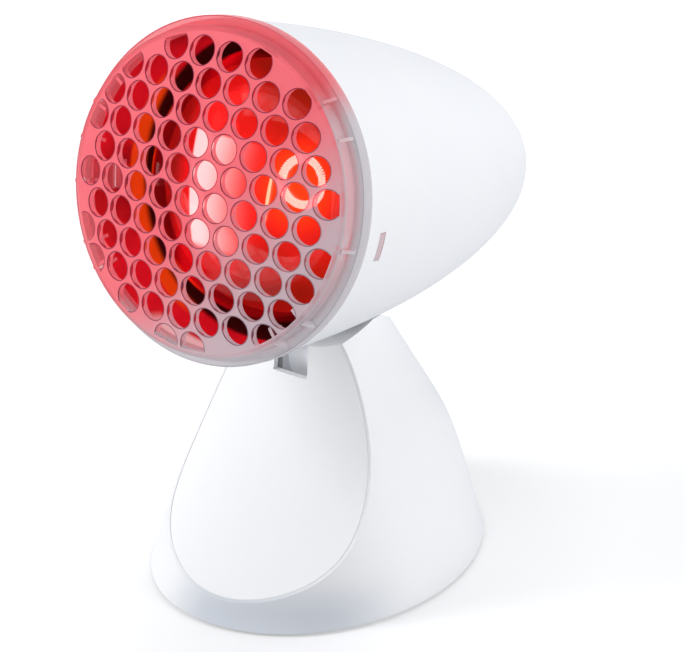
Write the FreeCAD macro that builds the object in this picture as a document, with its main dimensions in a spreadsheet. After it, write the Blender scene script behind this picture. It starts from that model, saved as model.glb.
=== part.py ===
import FreeCAD, Part
import math
import os

import Sketcher

# Infrared heat lamp: a moulded stand with a set-in front cover carries a bell-shaped head
# on a cross tube.  The head tilts in detent steps and holds a reflector bulb behind a
# clear perforated screen.
#
# Stand frame: origin on the table under the middle of the foot, X to the lamp's left-hand
# side as it looks out, -Y towards the front, Z up.
# Head frame: origin at the centre of the screen's rim, Y backwards along the head's axis,
# Z across it towards the top.  Frames are joined at the tilt axis.

SIZES = {
    # how far a cutting form runs past the face it opens, and a pilot hole past its screw
    "cut_spare": 1,
    "pilot_spare": 1,
    # form of the stand: upright ellipses, one above the other
    "foot_half_width": 57.9,
    "foot_half_depth": 70.8,
    "toe_height": 8,
    "toe_half_width": 57,
    "toe_half_depth": 66,
    "toe_set_back": 1,
    "calf_half_width": 49.8,
    "calf_half_depth": 62,
    "calf_set_back": 1,
    "hip_half_width": 42.7,
    "hip_half_depth": 53.8,
    "hip_set_back": 1.5,
    "waist_half_width": 34.2,
    "waist_half_depth": 43,
    "waist_set_back": -0.5,
    "neck_half_width": 26,
    "neck_half_depth": 30,
    "neck_set_back": -1,
    "crown_half_width": 17.8,
    "crown_half_depth": 12,
    "crown_set_back": -2,
    "crown_over_pivot": 30,
    "floor_gap": 1.2,
    "stand_wall": 2.4,
    # hollow front and the cover set into it
    "scoop_radius": 106.5,
    "scoop_sweep": 120,
    "scoop_front": 16.2,
    "scoop_over_pivot": 17.5,
    "cover_wall": 2.5,
    "cover_lip": 0.8,
    "cover_gap": 0.15,
    "cover_ledge": 5,
    "ledge_wall": 2,
    "notch_low": 2.1,
    # tilt axis, bearings and detent
    "pivot_height": 80,
    "pivot_back": 3,
    "tilt_rest": 14.65,
    "tilt_travel": 14.65,
    "detent_pitch": 7.325,
    "head_clearance": 1.2,
    "saddle_reach": 50,
    "lug_half_width": 6.7,
    "lug_gap": 0.6,
    "lug_radius": 12,
    "lug_reach_front": 15,
    "lug_reach_back": 17,
    "lug_height": 18.5,
    "notch_radius": 0.5,
    "rib_wall": 3.4,
    "rib_front": 15,
    "rib_back": 21,
    "shelf_wall": 2.5,
    "slot_behind_ribs": 2.5,
    "tube_radius": 4.5,
    "tube_bore": 2.7,
    "tube_end_margin": 0.5,
    "tube_fit": 0.05,
    "bush_radius": 6.5,
    "bush_stand_out": 0.2,
    "clip_ring_gap": 0.3,
    "clip_ring_wall": 1,
    "clip_ring_radius": 6.6,
    "spring_wall": 0.5,
    "spring_width": 9,
    "spring_half_chord": 12,
    "spring_rise": 2.2,
    "spring_tail": 6,
    "spring_gap": 0.3,
    "shelf_pilot_length": 10,
    "detent_screw_length": 4.5,
    # foot
    "plate_gap": 0.3,
    "plate_wall": 2.2,
    "ring_set_in": 16,
    "ring_width": 4,
    "post_across": 45,
    "post_front": 22,
    "post_back": 32,
    "post_radius": 4,
    "post_height": 60,
    "screw_radius": 1.2,
    "screw_length": 9,
    "screw_head_radius": 2.5,
    "screw_head_height": 1.4,
    "screw_fit": 0.05,
    "screw_hole_gap": 0.3,
    # rocker switch in the rear wall
    "switch_height": 36,
    "switch_lean": 21,
    "switch_set_in": 1,
    "bezel_half_width": 7.5,
    "bezel_half_height": 10.5,
    "bezel_wall": 2,
    "switch_half_width": 6.4,
    "switch_half_height": 9.4,
    "switch_depth": 13,
    "pad_margin": 3.5,
    "pad_wall": 2,
    "rocker_half_width": 4.6,
    "rocker_half_height": 7.6,
    "rocker_lean": 10,
    "rocker_pivot_depth": 2.2,
    "rocker_depth": 4.2,
    "rocker_gap": 0.4,
    "rocker_pin_radius": 1,
    "rocker_pin_seat": 0.4,
    "rocker_pin_set_in": 0.6,
    "rocker_dish": 0.5,
    "rocker_tip_out": 0.4,
    "rocker_tip_in": 0.4,
    "rocker_foot_in": 1.6,
    "terminal_width": 4.8,
    "terminal_wall": 0.8,
    "terminal_length": 7,
    "terminal_spacing": 9,
    # cord inlet, terminal block
    "inlet_height": 14,
    "inlet_set_in": 2.6,
    "inlet_cut_length": 20,
    "gland_flange_radius": 6,
    "gland_flange_wall": 1.8,
    "gland_radius": 4.2,
    "gland_bore": 3.3,
    "gland_length": 7.5,
    "clamp_from_inlet": 16,
    "clamp_post_across": 9,
    "clamp_post_radius": 3,
    "clamp_width": 7,
    "clamp_wall": 3,
    "block_back": 26,
    "block_length": 22,
    "block_width": 12,
    "block_height": 11,
    "block_screw_radius": 1.7,
    "block_screw_height": 1,
    "block_screw_division": 3.6,
    # form of the head
    "head_radius": 59.1,
    "head_half_length": 227,
    "head_middle": -40,
    "head_wall": 2.2,
    "pivot_behind_rim": 80.7,
    "pivot_below_axis": 64.5,
    "spigot_start": 2.5,
    "spigot_length": 3,
    "spigot_fit": 0.3,
    # clear screen
    "dome_radius": 215,
    "dome_rise": 12.8,
    "dome_wall": 3,
    "step_radius": 55.7,
    "step_wall": 1.8,
    "rim_radius": 59,
    "rim_wall": 1.4,
    "rim_depth": 5,
    "flange_wall": 2.2,
    "hole_pitch": 11.4,
    "hole_radius": 5.2,
    "field_radius": 53.6,
    "field_margin": 0.2,
    "field_aside": 3.3,
    "field_over_middle": 7.3,
    "fin_wall": 1.2,
    "fin_inner_radius": 50,
    "fin_top": 5.2,
    "fin_top_radius": 56.2,
    "arm_outer_radius": 54.4,
    "arm_wall": 1.6,
    "arm_half_width": 5,
    "arm_start": 0.5,
    "arm_length": 19,
    "hook_root": 0.5,
    "hook_reach": 57,
    "slit_start": 14.3,
    "slit_length": 4,
    "slit_below": 7,
    "hook_play": 0.3,
    # bulb, holder and shield
    "bulb_front": 4,
    "bulb_crown_back": 5,
    "bulb_crown_radius": 25,
    "bulb_brow_back": 13,
    "bulb_brow_radius": 40,
    "bulb_radius": 47.5,
    "bulb_wide_at": 31,
    "bulb_shoulder_at": 62,
    "bulb_shoulder_radius": 38.5,
    "bulb_waist_at": 98,
    "bulb_waist_radius": 20,
    "bulb_neck_radius": 12.6,
    "bulb_neck_at": 118,
    "bulb_neck_straight": 3,
    "bulb_glass_wall": 1,
    "cap_start": 115,
    "cap_length": 19,
    "cap_radius": 13.2,
    "cap_wall": 0.55,
    "cap_insulator_length": 3,
    "cap_contact_radius": 4.5,
    "cap_contact_wall": 1.2,
    "filament_at": 50,
    "filament_radius": 8,
    "filament_wire": 0.5,
    "stem_radius": 4,
    "stem_front": 92,
    "stem_wire_radius": 0.5,
    "stem_wire_root": 1,
    "stem_flare_wall": 1.2,
    "stem_fit": 0.05,
    "holder_start": 116,
    "holder_radius": 19,
    "sleeve_set_in": 1,
    "sleeve_length": 20,
    "holder_floor": 3,
    "sleeve_wall": 0.5,
    "sleeve_gap": 0.4,
    "contact_gap": 0.3,
    "holder_contact_wall": 1.5,
    "mount_plate_radius": 25,
    "mount_plate_wall": 1.6,
    "mount_screw_radius_out": 21.5,
    "mount_boss_radius": 3.4,
    "mount_head_radius": 2.2,
    "mount_boss_length": 30,
    "shield_start": 62,
    "shield_radius": 46,
    "shield_end_radius": 27,
    "shield_wall": 0.6,
    "vent_width": 3,
    "vent_half_length": 9,
    "vent_spacing": 7,
    "vent_first": 128,
    # wiring inside
    "lead_radius": 1.8,
    "lead_channel": 2.3,
    "lead_shaft_over_lug": 9.25,
    "lead_mouth_room": 8.05,
    "lead_aside": 2.5,
    "lead_joint": 0.3,
    "thin_lead_radius": 1,
    "lead_behind_holder_front": 12,
    "lead_drop": 9,
    "lead_first_forward": 14,
    "lead_first_low": 15.5,
    "lead_second_back": 18,
    "lead_second_up": 26,
    "lead_third_up": 22,
    "base_lead_out": 11,
    "base_lead_first_out": 14,
    "base_lead_first_back": 3,
    "base_lead_first_down": 27,
    "base_lead_second_out": 15,
    "base_lead_second_forward": 6,
    "base_lead_second_down": 52,
    "base_lead_third_out": 12,
    "switch_lead_straight": 6,
}

RING_POINTS = 16
LEVELS_OVER_TOE = 5
VENT_COUNT = 3
NOTCHES = range(-2, 3)
STEM_WIRE_ANGLES = (0, 120, 240)
BEND_SHARE = 0.45
SKETCH_START = 30
SKETCH_START_RADIUS = 9
FIN_ANGLES = (44, 30, -7, -37, -50, 145, 158, 172, 188, 210, 220)

X_AXIS = (1, 0, 0)
Y_AXIS = (0, 1, 0)
Z_AXIS = (0, 0, 1)
ALONG = {"x": (Y_AXIS, "90"), "y": (X_AXIS, "-90"), "z": (Z_AXIS, "0")}

document = FreeCAD.newDocument("heat_lamp")
sheet = document.addObject("Spreadsheet::Sheet", "Sizes")
for row, (alias, value) in enumerate(SIZES.items(), start=1):
    sheet.set("A%d" % row, str(value))
    sheet.setAlias("A%d" % row, alias)
document.recompute()
sub_parts = []


# ---------------------------------------------------------------- ways of making a piece


def size(alias):
    return float(sheet.get(alias))


def spot(x="0", y="0", z="0", axis=Z_AXIS, turn="0"):
    return (
        "create(<<placement>>; create(<<vector>>; %s; %s; %s); "
        "create(<<rotation>>; create(<<vector>>; %d; %d; %d); %s))"
        % (x, y, z, *axis, turn)
    )


def head_frame(extra_tilt="0"):
    turn = "-Sizes.tilt_rest - (%s)" % extra_tilt
    at_pivot = spot("0", "Sizes.pivot_back", "Sizes.pivot_height", X_AXIS, turn)
    return at_pivot + " * " + spot("0", "-Sizes.pivot_behind_rim", "Sizes.pivot_below_axis")


HEAD = head_frame()
STAND = spot()


def put(thing, *places):
    thing.setExpression("Placement", " * ".join(places))
    return thing


def bind(thing, **formulas):
    for name, formula in formulas.items():
        thing.setExpression(name, formula)
    return thing


def rod(name, radius, length, x="0", y="0", z="0", along="z", frame=STAND):
    thing = bind(document.addObject("Part::Cylinder", name), Radius=radius, Height=length)
    return put(thing, frame, spot(x, y, z, *ALONG[along]))


def block(name, x, y, z, frame=STAND):
    """A box from three pairs of formulas: where it starts and where it ends on each axis."""
    thing = document.addObject("Part::Box", name)
    for side, (start, end) in zip(("Length", "Width", "Height"), (x, y, z)):
        thing.setExpression(side, "(%s) - (%s)" % (end, start))
    return put(thing, frame, spot(x[0], y[0], z[0]))


def horn(name, radius_front, radius_back, start, length, frame=STAND):
    """A cone about the frame's Y axis."""
    thing = document.addObject("Part::Cone", name)
    bind(thing, Radius1=radius_front, Radius2=radius_back, Height=length)
    return put(thing, frame, spot("0", start, "0", *ALONG["y"]))


def cut(name, base, *tools):
    for index, tool in enumerate(tools, start=1):
        last = index == len(tools)
        thing = document.addObject("Part::Cut", name if last else "%s_%d" % (name, index))
        thing.Base = base
        thing.Tool = tool
        thing.Refine = False
        base = thing
    return base


def fuse(name, *pieces):
    thing = document.addObject("Part::MultiFuse", name)
    thing.Shapes = list(pieces)
    thing.Refine = False
    return thing


def meet(name, first, second):
    thing = document.addObject("Part::Common", name)
    thing.Base = first
    thing.Tool = second
    thing.Refine = False
    return thing


def group(name, pieces):
    thing = document.addObject("Part::Compound", name)
    thing.Links = list(pieces)
    return thing


def outline(body, name, plane, corners):
    """A closed sketch of straight sides, each corner held by its two coordinates."""
    sketch = body.newObject("Sketcher::SketchObject", name)
    planes = [item for item in body.Origin.OriginFeatures if item.Role == plane]
    sketch.AttachmentSupport = (planes[0], [""])
    sketch.MapMode = "FlatFace"
    count = len(corners)
    turn = 2 * math.pi / count
    start = [
        FreeCAD.Vector(
            SKETCH_START + SKETCH_START_RADIUS * math.cos(k * turn),
            SKETCH_START_RADIUS * math.sin(k * turn),
            0,
        )
        for k in range(count)
    ]
    for k in range(count):
        sketch.addGeometry(Part.LineSegment(start[k], start[(k + 1) % count]), False)
    for k in range(count):
        sketch.addConstraint(Sketcher.Constraint("Coincident", k, 2, (k + 1) % count, 1))
    for k, (across, up) in enumerate(corners):
        for kind, formula, now in (("DistanceX", across, start[k].x), ("DistanceY", up, start[k].y)):
            number = sketch.addConstraint(Sketcher.Constraint(kind, -1, 1, k, 1, now))
            sketch.setExpression("Constraints[%d]" % number, formula)
    return sketch


def slab(name, corners, half_width, *places):
    """A body padded both ways along X from (y, z) corners."""
    body = document.addObject("PartDesign::Body", name)
    sketch = outline(body, name + "_side", "YZ_Plane", corners)
    pad = body.newObject("PartDesign::Pad", name + "_pad")
    pad.Profile = sketch
    pad.Midplane = True
    pad.setExpression("Length", "2 * (%s)" % half_width)
    return put(body, *places)


def shaped(name, shape):
    thing = document.addObject("Part::Feature", name)
    thing.Shape = shape
    return thing


def keep(label, thing):
    thing.Label = label
    sub_parts.append(thing)
    return thing


def lead_tube(name, points, radius):
    """A round lead along straight runs joined by arcs as large as the runs allow."""
    points = [FreeCAD.Vector(*point) for point in points]
    runs = [(after - before).Length for before, after in zip(points, points[1:])]
    edges = []
    here = points[0]
    for k in range(1, len(points) - 1):
        back = (points[k - 1] - points[k]).normalize()
        ahead = (points[k + 1] - points[k]).normalize()
        half_turn = (math.pi - back.getAngle(ahead)) / 2
        tangent = BEND_SHARE * min(runs[k - 1], runs[k])
        bend = tangent / math.tan(half_turn)
        print("%s bend %d radius %.1f" % (name, k, bend))
        middle = (back + ahead).normalize()
        centre = points[k] + middle * (bend / math.cos(half_turn))
        start = points[k] + back * tangent
        end = points[k] + ahead * tangent
        edges.append(Part.LineSegment(here, start).toShape())
        edges.append(Part.Arc(start, centre - middle * bend, end).toShape())
        here = end
    edges.append(Part.LineSegment(here, points[-1]).toShape())
    path = Part.Wire(edges)
    ring = Part.Wire([Part.Circle(points[0], points[1] - points[0], radius).toShape()])
    return shaped(name, path.makePipeShell([ring], True, False))


# ---------------------------------------------------------------------- form of the stand


def stand_levels():
    """Height, half width, half depth and set-back of each ellipse from the floor up."""
    toe = size("toe_height")
    crown = size("pivot_height") + size("crown_over_pivot")
    rise = (crown - toe) / LEVELS_OVER_TOE
    heights = [size("floor_gap")] + [toe + rise * k for k in range(LEVELS_OVER_TOE + 1)]
    names = ("foot", "toe", "calf", "hip", "waist", "neck", "crown")
    for name, height in zip(names, heights):
        set_back = 0 if name == "foot" else size(name + "_set_back")
        yield height, size(name + "_half_width"), size(name + "_half_depth"), set_back


def stand_form(name, inset):
    rings = []
    for height, half_width, half_depth, set_back in stand_levels():
        points = []
        for k in range(RING_POINTS):
            angle = 2 * math.pi * k / RING_POINTS
            across = (half_width - inset) * math.sin(angle)
            back = (half_depth - inset) * math.cos(angle) + set_back
            points.append(FreeCAD.Vector(across, back, height))
        ring = Part.BSplineCurve()
        ring.interpolate(points, PeriodicFlag=True)
        rings.append(Part.Wire([ring.toShape()]))
    return shaped(name, Part.makeLoft(rings, True, False))


def scoop_form(name, depth):
    """The hollow in the stand's front: a wide ring whose tube curves down and outwards."""
    thing = document.addObject("Part::Torus", name)
    bind(thing, Radius1="Sizes.scoop_sweep + Sizes.scoop_radius", Radius2="Sizes.scoop_radius + " + depth)
    height = "Sizes.pivot_height + Sizes.scoop_over_pivot"
    return put(thing, spot("0", "Sizes.scoop_sweep - Sizes.scoop_front", height))


def head_sweep(name, margin):
    """Cones that clear the head's underside at the bottom, middle and top of its tilt.

    Each touches the head's outside, moved out by the margin, in the ring above the pivot."""
    share = "((Sizes.pivot_behind_rim - Sizes.head_middle) / Sizes.head_half_length)"
    root = "sqrt(1 - %s ^ 2)" % share
    middle = "(Sizes.head_radius * %s + %s)" % (root, margin)
    change = "(Sizes.head_radius * %s / Sizes.head_half_length / %s * Sizes.saddle_reach)" % (share, root)
    cones = [
        horn(
            "%s_cone_%d" % (name, k + 1),
            middle + " + " + change,
            middle + " - " + change,
            "Sizes.pivot_behind_rim - Sizes.saddle_reach",
            "2 * Sizes.saddle_reach",
            head_frame("%d * Sizes.tilt_travel" % k),
        )
        for k in (-1, 0, 1)
    ]
    return fuse(name, *cones)


outside = stand_form("stand_outside", 0)
under_lip = stand_form("stand_under_lip", size("cover_lip"))
cover_edge = stand_form("cover_edge", size("cover_lip") + size("cover_gap"))
inside = stand_form("stand_inside", size("stand_wall"))
half_wall = stand_form("stand_half_wall", size("stand_wall") / 2)
ledge_edge = stand_form("ledge_edge", size("cover_ledge"))
plate_edge = stand_form("plate_edge", size("stand_wall") + size("plate_gap"))

scoop = scoop_form("scoop", "0")
scoop_behind_cover = scoop_form("scoop_behind_cover", "Sizes.cover_wall")
scoop_pocket = scoop_form("scoop_pocket", "Sizes.cover_wall + Sizes.cover_gap")
SEAT_DEPTH = "Sizes.cover_wall + Sizes.cover_gap + Sizes.ledge_wall"
scoop_seat = scoop_form("scoop_seat", SEAT_DEPTH)
scoop_through = scoop_form("scoop_through", SEAT_DEPTH + " + Sizes.cover_gap")
scoop_plate = scoop_form("scoop_plate", SEAT_DEPTH + " + Sizes.plate_gap")

saddle = head_sweep("saddle", "Sizes.head_clearance")
saddle_skin = head_sweep("saddle_skin", "Sizes.head_clearance + Sizes.stand_wall")

PLATE_BOTTOM = "Sizes.floor_gap"
PLATE_TOP = "Sizes.floor_gap + Sizes.plate_wall"
SLOT_HALF = "Sizes.lug_half_width + Sizes.lug_gap"
RIB_OUTER = SLOT_HALF + " + Sizes.rib_wall"
SPRING_CROWN = "Sizes.pivot_height - Sizes.lug_radius - Sizes.spring_gap"
SHELF_TOP = SPRING_CROWN + " - Sizes.spring_rise - Sizes.spring_wall"


# --------------------------------------------------------------------------- base shell


def posts(name, radius, bottom, height):
    return [
        rod("%s_%s%s" % (name, side, end), radius, height, x, y, bottom)
        for side, x in (("left", "Sizes.post_across"), ("right", "-Sizes.post_across"))
        for end, y in (("front", "-Sizes.post_front"), ("back", "Sizes.post_back"))
    ]


def rear_wall_at(height):
    """How far back the outside reaches at a height."""
    beyond = 2 * size("foot_half_depth")
    line = Part.makeLine(FreeCAD.Vector(0, 0, height), FreeCAD.Vector(0, beyond, height))
    return max(vertex.Point.y for vertex in line.common(outside.Shape).Vertexes)


SWITCH_BACK = rear_wall_at(size("switch_height"))
SWITCH = spot(
    "0",
    "%.3f - Sizes.switch_set_in" % SWITCH_BACK,
    "Sizes.switch_height",
    X_AXIS,
    "Sizes.switch_lean",
)
INLET_BACK = "%.3f - Sizes.inlet_set_in" % rear_wall_at(size("inlet_height"))


def base_shell():
    pocket = meet("cover_pocket", under_lip, scoop_pocket)
    cavity = cut("stand_cavity", inside, scoop_seat, saddle_skin)
    window = cut("cover_window", meet("ledge_opening", ledge_edge, scoop_through), saddle_skin)
    skin = cut("stand_skin", outside, scoop, saddle, cavity, pocket, window)

    core = cut("stand_core", half_wall, scoop_seat)
    screw_posts = [
        meet(post.Name + "_in_core", post, core)
        for post in posts("post", "Sizes.post_radius", PLATE_TOP, "Sizes.post_height")
    ]
    ribs = []
    rib_spans = (
        ("left", SLOT_HALF, RIB_OUTER),
        ("right", "-(%s)" % RIB_OUTER, "-(%s)" % SLOT_HALF),
    )
    for side, start, end in rib_spans:
        rib = block(
            "rib_" + side,
            (start, end),
            ("Sizes.pivot_back - Sizes.rib_front", "Sizes.pivot_back + Sizes.rib_back"),
            (SHELF_TOP + " - Sizes.shelf_wall", "Sizes.pivot_height + Sizes.crown_over_pivot / 2"),
        )
        ribs.append(cut("rib_%s_under_head" % side, rib, saddle))
    shelf = block(
        "spring_shelf",
        ("-(%s)" % RIB_OUTER, RIB_OUTER),
        ("Sizes.pivot_back - Sizes.rib_front", "Sizes.pivot_back + Sizes.rib_back"),
        (SHELF_TOP + " - Sizes.shelf_wall", SHELF_TOP),
    )
    switch_pad = meet(
        "switch_pad",
        block(
            "switch_pad_block",
            ("-Sizes.bezel_half_width - Sizes.pad_margin", "Sizes.bezel_half_width + Sizes.pad_margin"),
            ("-Sizes.bezel_wall - Sizes.pad_wall", "Sizes.switch_set_in + 2 * Sizes.cut_spare"),
            ("-Sizes.bezel_half_height - Sizes.pad_margin", "Sizes.bezel_half_height + Sizes.pad_margin"),
            SWITCH,
        ),
        outside,
    )
    inlet_pad = meet(
        "inlet_pad",
        rod(
            "inlet_pad_rod",
            "Sizes.gland_flange_radius + Sizes.stand_wall",
            "Sizes.gland_length",
            "0",
            INLET_BACK + " - 2 * Sizes.stand_wall",
            "Sizes.inlet_height",
            "y",
        ),
        outside,
    )
    solid = fuse("stand_solid", skin, *screw_posts, *ribs, shelf, switch_pad, inlet_pad)

    tongue_slot = block(
        "tongue_slot",
        ("-(%s)" % SLOT_HALF, SLOT_HALF),
        (
            "Sizes.pivot_back - Sizes.foot_half_depth",
            "Sizes.pivot_back + Sizes.rib_back + Sizes.slot_behind_ribs",
        ),
        (SHELF_TOP, "Sizes.pivot_height + 2 * Sizes.crown_over_pivot"),
    )
    bush_bore = rod(
        "bush_bore",
        "Sizes.bush_radius",
        "2 * (%s)" % RIB_OUTER,
        "-(%s)" % RIB_OUTER,
        "Sizes.pivot_back",
        "Sizes.pivot_height",
        "x",
    )
    bezel_pocket = block(
        "bezel_pocket",
        ("-Sizes.bezel_half_width - Sizes.cover_gap", "Sizes.bezel_half_width + Sizes.cover_gap"),
        ("-Sizes.bezel_wall", "Sizes.bezel_wall * 4"),
        ("-Sizes.bezel_half_height - Sizes.cover_gap", "Sizes.bezel_half_height + Sizes.cover_gap"),
        SWITCH,
    )
    switch_hole = block(
        "switch_hole",
        ("-Sizes.switch_half_width - Sizes.cover_gap", "Sizes.switch_half_width + Sizes.cover_gap"),
        ("-Sizes.switch_depth", "0"),
        ("-Sizes.switch_half_height - Sizes.cover_gap", "Sizes.switch_half_height + Sizes.cover_gap"),
        SWITCH,
    )
    inlet = [
        rod(
            "inlet_face",
            "Sizes.gland_flange_radius + Sizes.cover_gap",
            "Sizes.inlet_cut_length",
            "0",
            INLET_BACK,
            "Sizes.inlet_height",
            "y",
        ),
        rod(
            "inlet_hole",
            "Sizes.gland_radius + Sizes.cover_gap",
            "2 * Sizes.inlet_cut_length",
            "0",
            INLET_BACK + " - Sizes.inlet_cut_length",
            "Sizes.inlet_height",
            "y",
        ),
    ]
    pilots = posts(
        "post_pilot",
        "Sizes.screw_radius + Sizes.screw_fit",
        PLATE_BOTTOM,
        "Sizes.screw_length + Sizes.pilot_spare",
    )
    spring_pilot = rod(
        "spring_pilot",
        "Sizes.screw_radius + Sizes.screw_fit",
        "Sizes.shelf_pilot_length",
        "0",
        "Sizes.pivot_back + Sizes.spring_half_chord + Sizes.spring_tail / 2",
        SHELF_TOP + " - Sizes.shelf_pilot_length / 2",
    )
    openings = [tongue_slot, bush_bore, bezel_pocket, switch_hole, *inlet, *pilots, spring_pilot]
    keep("base_shell", cut("base_shell", solid, *openings))


base_shell()


# ----------------------------------------------------------------------- stand fittings


def front_cover():
    panel = cut("cover_panel", meet("cover_blank", cover_edge, scoop_behind_cover), scoop, saddle)
    notch = block(
        "cover_notch",
        ("-(%s)" % SLOT_HALF, SLOT_HALF),
        ("-Sizes.foot_half_depth", "0"),
        ("Sizes.pivot_height - Sizes.notch_low", "Sizes.pivot_height + 2 * Sizes.crown_over_pivot"),
    )
    keep("front_cover", cut("front_cover", panel, notch))


def base_plate():
    flat = block(
        "plate_slab",
        ("-Sizes.foot_half_width", "Sizes.foot_half_width"),
        ("-Sizes.foot_half_depth", "Sizes.foot_half_depth"),
        (PLATE_BOTTOM, PLATE_TOP),
    )
    disc = cut("plate_disc", meet("plate_oval", plate_edge, flat), scoop_plate)
    clamp_posts = [
        rod(
            "clamp_post_" + side,
            "Sizes.clamp_post_radius",
            "Sizes.inlet_height - (%s)" % PLATE_BOTTOM,
            x,
            INLET_BACK + " - Sizes.clamp_from_inlet",
            PLATE_BOTTOM,
        )
        for side, x in (("left", "Sizes.clamp_post_across"), ("right", "-Sizes.clamp_post_across"))
    ]
    pilots = [
        rod(
            "clamp_pilot_" + side,
            "Sizes.screw_radius + Sizes.screw_fit",
            "Sizes.screw_length",
            x,
            INLET_BACK + " - Sizes.clamp_from_inlet",
            "Sizes.inlet_height + Sizes.clamp_wall - Sizes.screw_length",
        )
        for side, x in (("left", "Sizes.clamp_post_across"), ("right", "-Sizes.clamp_post_across"))
    ]
    holes = posts(
        "plate_hole",
        "Sizes.screw_radius + Sizes.screw_hole_gap",
        PLATE_BOTTOM,
        "Sizes.plate_wall",
    )
    sinks = posts(
        "plate_sink",
        "Sizes.screw_head_radius + Sizes.screw_hole_gap",
        PLATE_BOTTOM,
        "Sizes.screw_head_height",
    )
    solid = fuse("plate_solid", disc, *clamp_posts)
    keep("base_plate", cut("base_plate", solid, *holes, *sinks, *pilots))


def rubber_ring():
    """Non-slip ring stuck under the plate; it carries the lamp."""
    layers = []
    insets = (
        ("ring_outer", "Sizes.ring_set_in"),
        ("ring_inner", "Sizes.ring_set_in + Sizes.ring_width"),
    )
    for name, inset in insets:
        oval = document.addObject("Part::Ellipse", name)
        bind(
            oval,
            MajorRadius="Sizes.foot_half_depth - (%s)" % inset,
            MinorRadius="Sizes.foot_half_width - (%s)" % inset,
        )
        put(oval, spot(turn="90"))
        rise = document.addObject("Part::Extrusion", name + "_rise")
        rise.Base = oval
        rise.DirMode = "Custom"
        rise.Dir = FreeCAD.Vector(0, 0, 1)
        rise.Solid = True
        bind(rise, LengthFwd="Sizes.floor_gap")
        layers.append(rise)
    keep("rubber_ring", cut("rubber_ring", *layers))


def plate_screws():
    heads = posts("screw_head", "Sizes.screw_head_radius", PLATE_BOTTOM, "Sizes.screw_head_height")
    shanks = posts("screw_shank", "Sizes.screw_radius", PLATE_BOTTOM, "Sizes.screw_length")
    screws = [fuse(head.Name + "_screw", head, shank) for head, shank in zip(heads, shanks)]
    keep("plate_screws", group("plate_screws", screws))


def pivot_bushes():
    bushes = []
    for side, start in (("left", SLOT_HALF), ("right", "-(%s + Sizes.bush_stand_out)" % RIB_OUTER)):
        place = (start, "Sizes.pivot_back", "Sizes.pivot_height", "x")
        width = "Sizes.rib_wall + Sizes.bush_stand_out"
        ring = rod("bush_ring_" + side, "Sizes.bush_radius", width, *place)
        bore = rod("bush_hole_" + side, "Sizes.tube_radius + Sizes.tube_fit", width, *place)
        bushes.append(cut("bush_" + side, ring, bore))
    keep("pivot_bushes", group("pivot_bushes", bushes))


def detent_spring():
    """Bowed leaf under the lug with a flat tail that its screw holds down."""
    arch = "((Sizes.spring_half_chord ^ 2 + Sizes.spring_rise ^ 2) / (2 * Sizes.spring_rise))"
    centre = "%s - Sizes.spring_wall - %s" % (SPRING_CROWN, arch)
    half = "Sizes.spring_width / 2"
    place = ("-" + half, "Sizes.pivot_back", centre, "x")
    outer = rod("arch_outer", arch + " + Sizes.spring_wall", "Sizes.spring_width", *place)
    inner = rod("arch_inner", arch, "Sizes.spring_width", *place)
    room = block(
        "arch_room",
        ("-" + half, half),
        ("Sizes.pivot_back - Sizes.spring_half_chord", "Sizes.pivot_back + Sizes.spring_half_chord"),
        (SHELF_TOP, SPRING_CROWN),
    )
    bow = meet("arch_bow", cut("arch_band", outer, inner), room)
    tail = block(
        "spring_tail_strip",
        ("-" + half, half),
        (
            "Sizes.pivot_back + Sizes.spring_half_chord - Sizes.spring_wall",
            "Sizes.pivot_back + Sizes.spring_half_chord + Sizes.spring_tail",
        ),
        (SHELF_TOP, SHELF_TOP + " + Sizes.spring_wall"),
    )
    hole = rod(
        "spring_hole",
        "Sizes.screw_radius + Sizes.screw_fit",
        "Sizes.spring_wall + 2 * Sizes.cut_spare",
        "0",
        "Sizes.pivot_back + Sizes.spring_half_chord + Sizes.spring_tail / 2",
        SHELF_TOP + " - Sizes.cut_spare",
    )
    keep("detent_spring", cut("detent_spring", fuse("spring_strip", bow, tail), hole))


def detent_screw():
    place = ("0", "Sizes.pivot_back + Sizes.spring_half_chord + Sizes.spring_tail / 2")
    top = SHELF_TOP + " + Sizes.spring_wall"
    tip = top + " - Sizes.detent_screw_length"
    shank = rod("detent_shank", "Sizes.screw_radius", "Sizes.detent_screw_length", *place, tip)
    head = rod("detent_head", "Sizes.screw_head_radius", "Sizes.screw_head_height", *place, top)
    keep("detent_screw", fuse("detent_screw", shank, head))


front_cover()
base_plate()
rubber_ring()
plate_screws()
pivot_bushes()
detent_spring()
detent_screw()


# ------------------------------------------------------------------------ rocker switch


def both_ways(half):
    return "-(%s)" % half, half


def switch_body():
    bezel = block(
        "switch_bezel",
        both_ways("Sizes.bezel_half_width"),
        ("-Sizes.bezel_wall", "0"),
        both_ways("Sizes.bezel_half_height"),
    )
    case = block(
        "switch_case",
        both_ways("Sizes.switch_half_width"),
        ("-Sizes.switch_depth", "-Sizes.bezel_wall"),
        both_ways("Sizes.switch_half_height"),
    )
    well = block(
        "switch_well",
        both_ways("Sizes.rocker_half_width + Sizes.rocker_gap"),
        ("-Sizes.rocker_depth - Sizes.rocker_pivot_depth", "Sizes.cut_spare"),
        both_ways("Sizes.rocker_half_height + Sizes.rocker_gap"),
    )
    pin_hole = rod(
        "rocker_pin_hole",
        "Sizes.rocker_pin_radius + Sizes.tube_fit",
        "2 * (Sizes.switch_half_width - Sizes.rocker_pin_seat)",
        "Sizes.rocker_pin_seat - Sizes.switch_half_width",
        "-Sizes.rocker_pivot_depth",
        "0",
        "x",
    )
    body = cut("switch_body", fuse("switch_solid", bezel, case), well, pin_hole)
    keep("switch_body", put(body, SWITCH))


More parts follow.
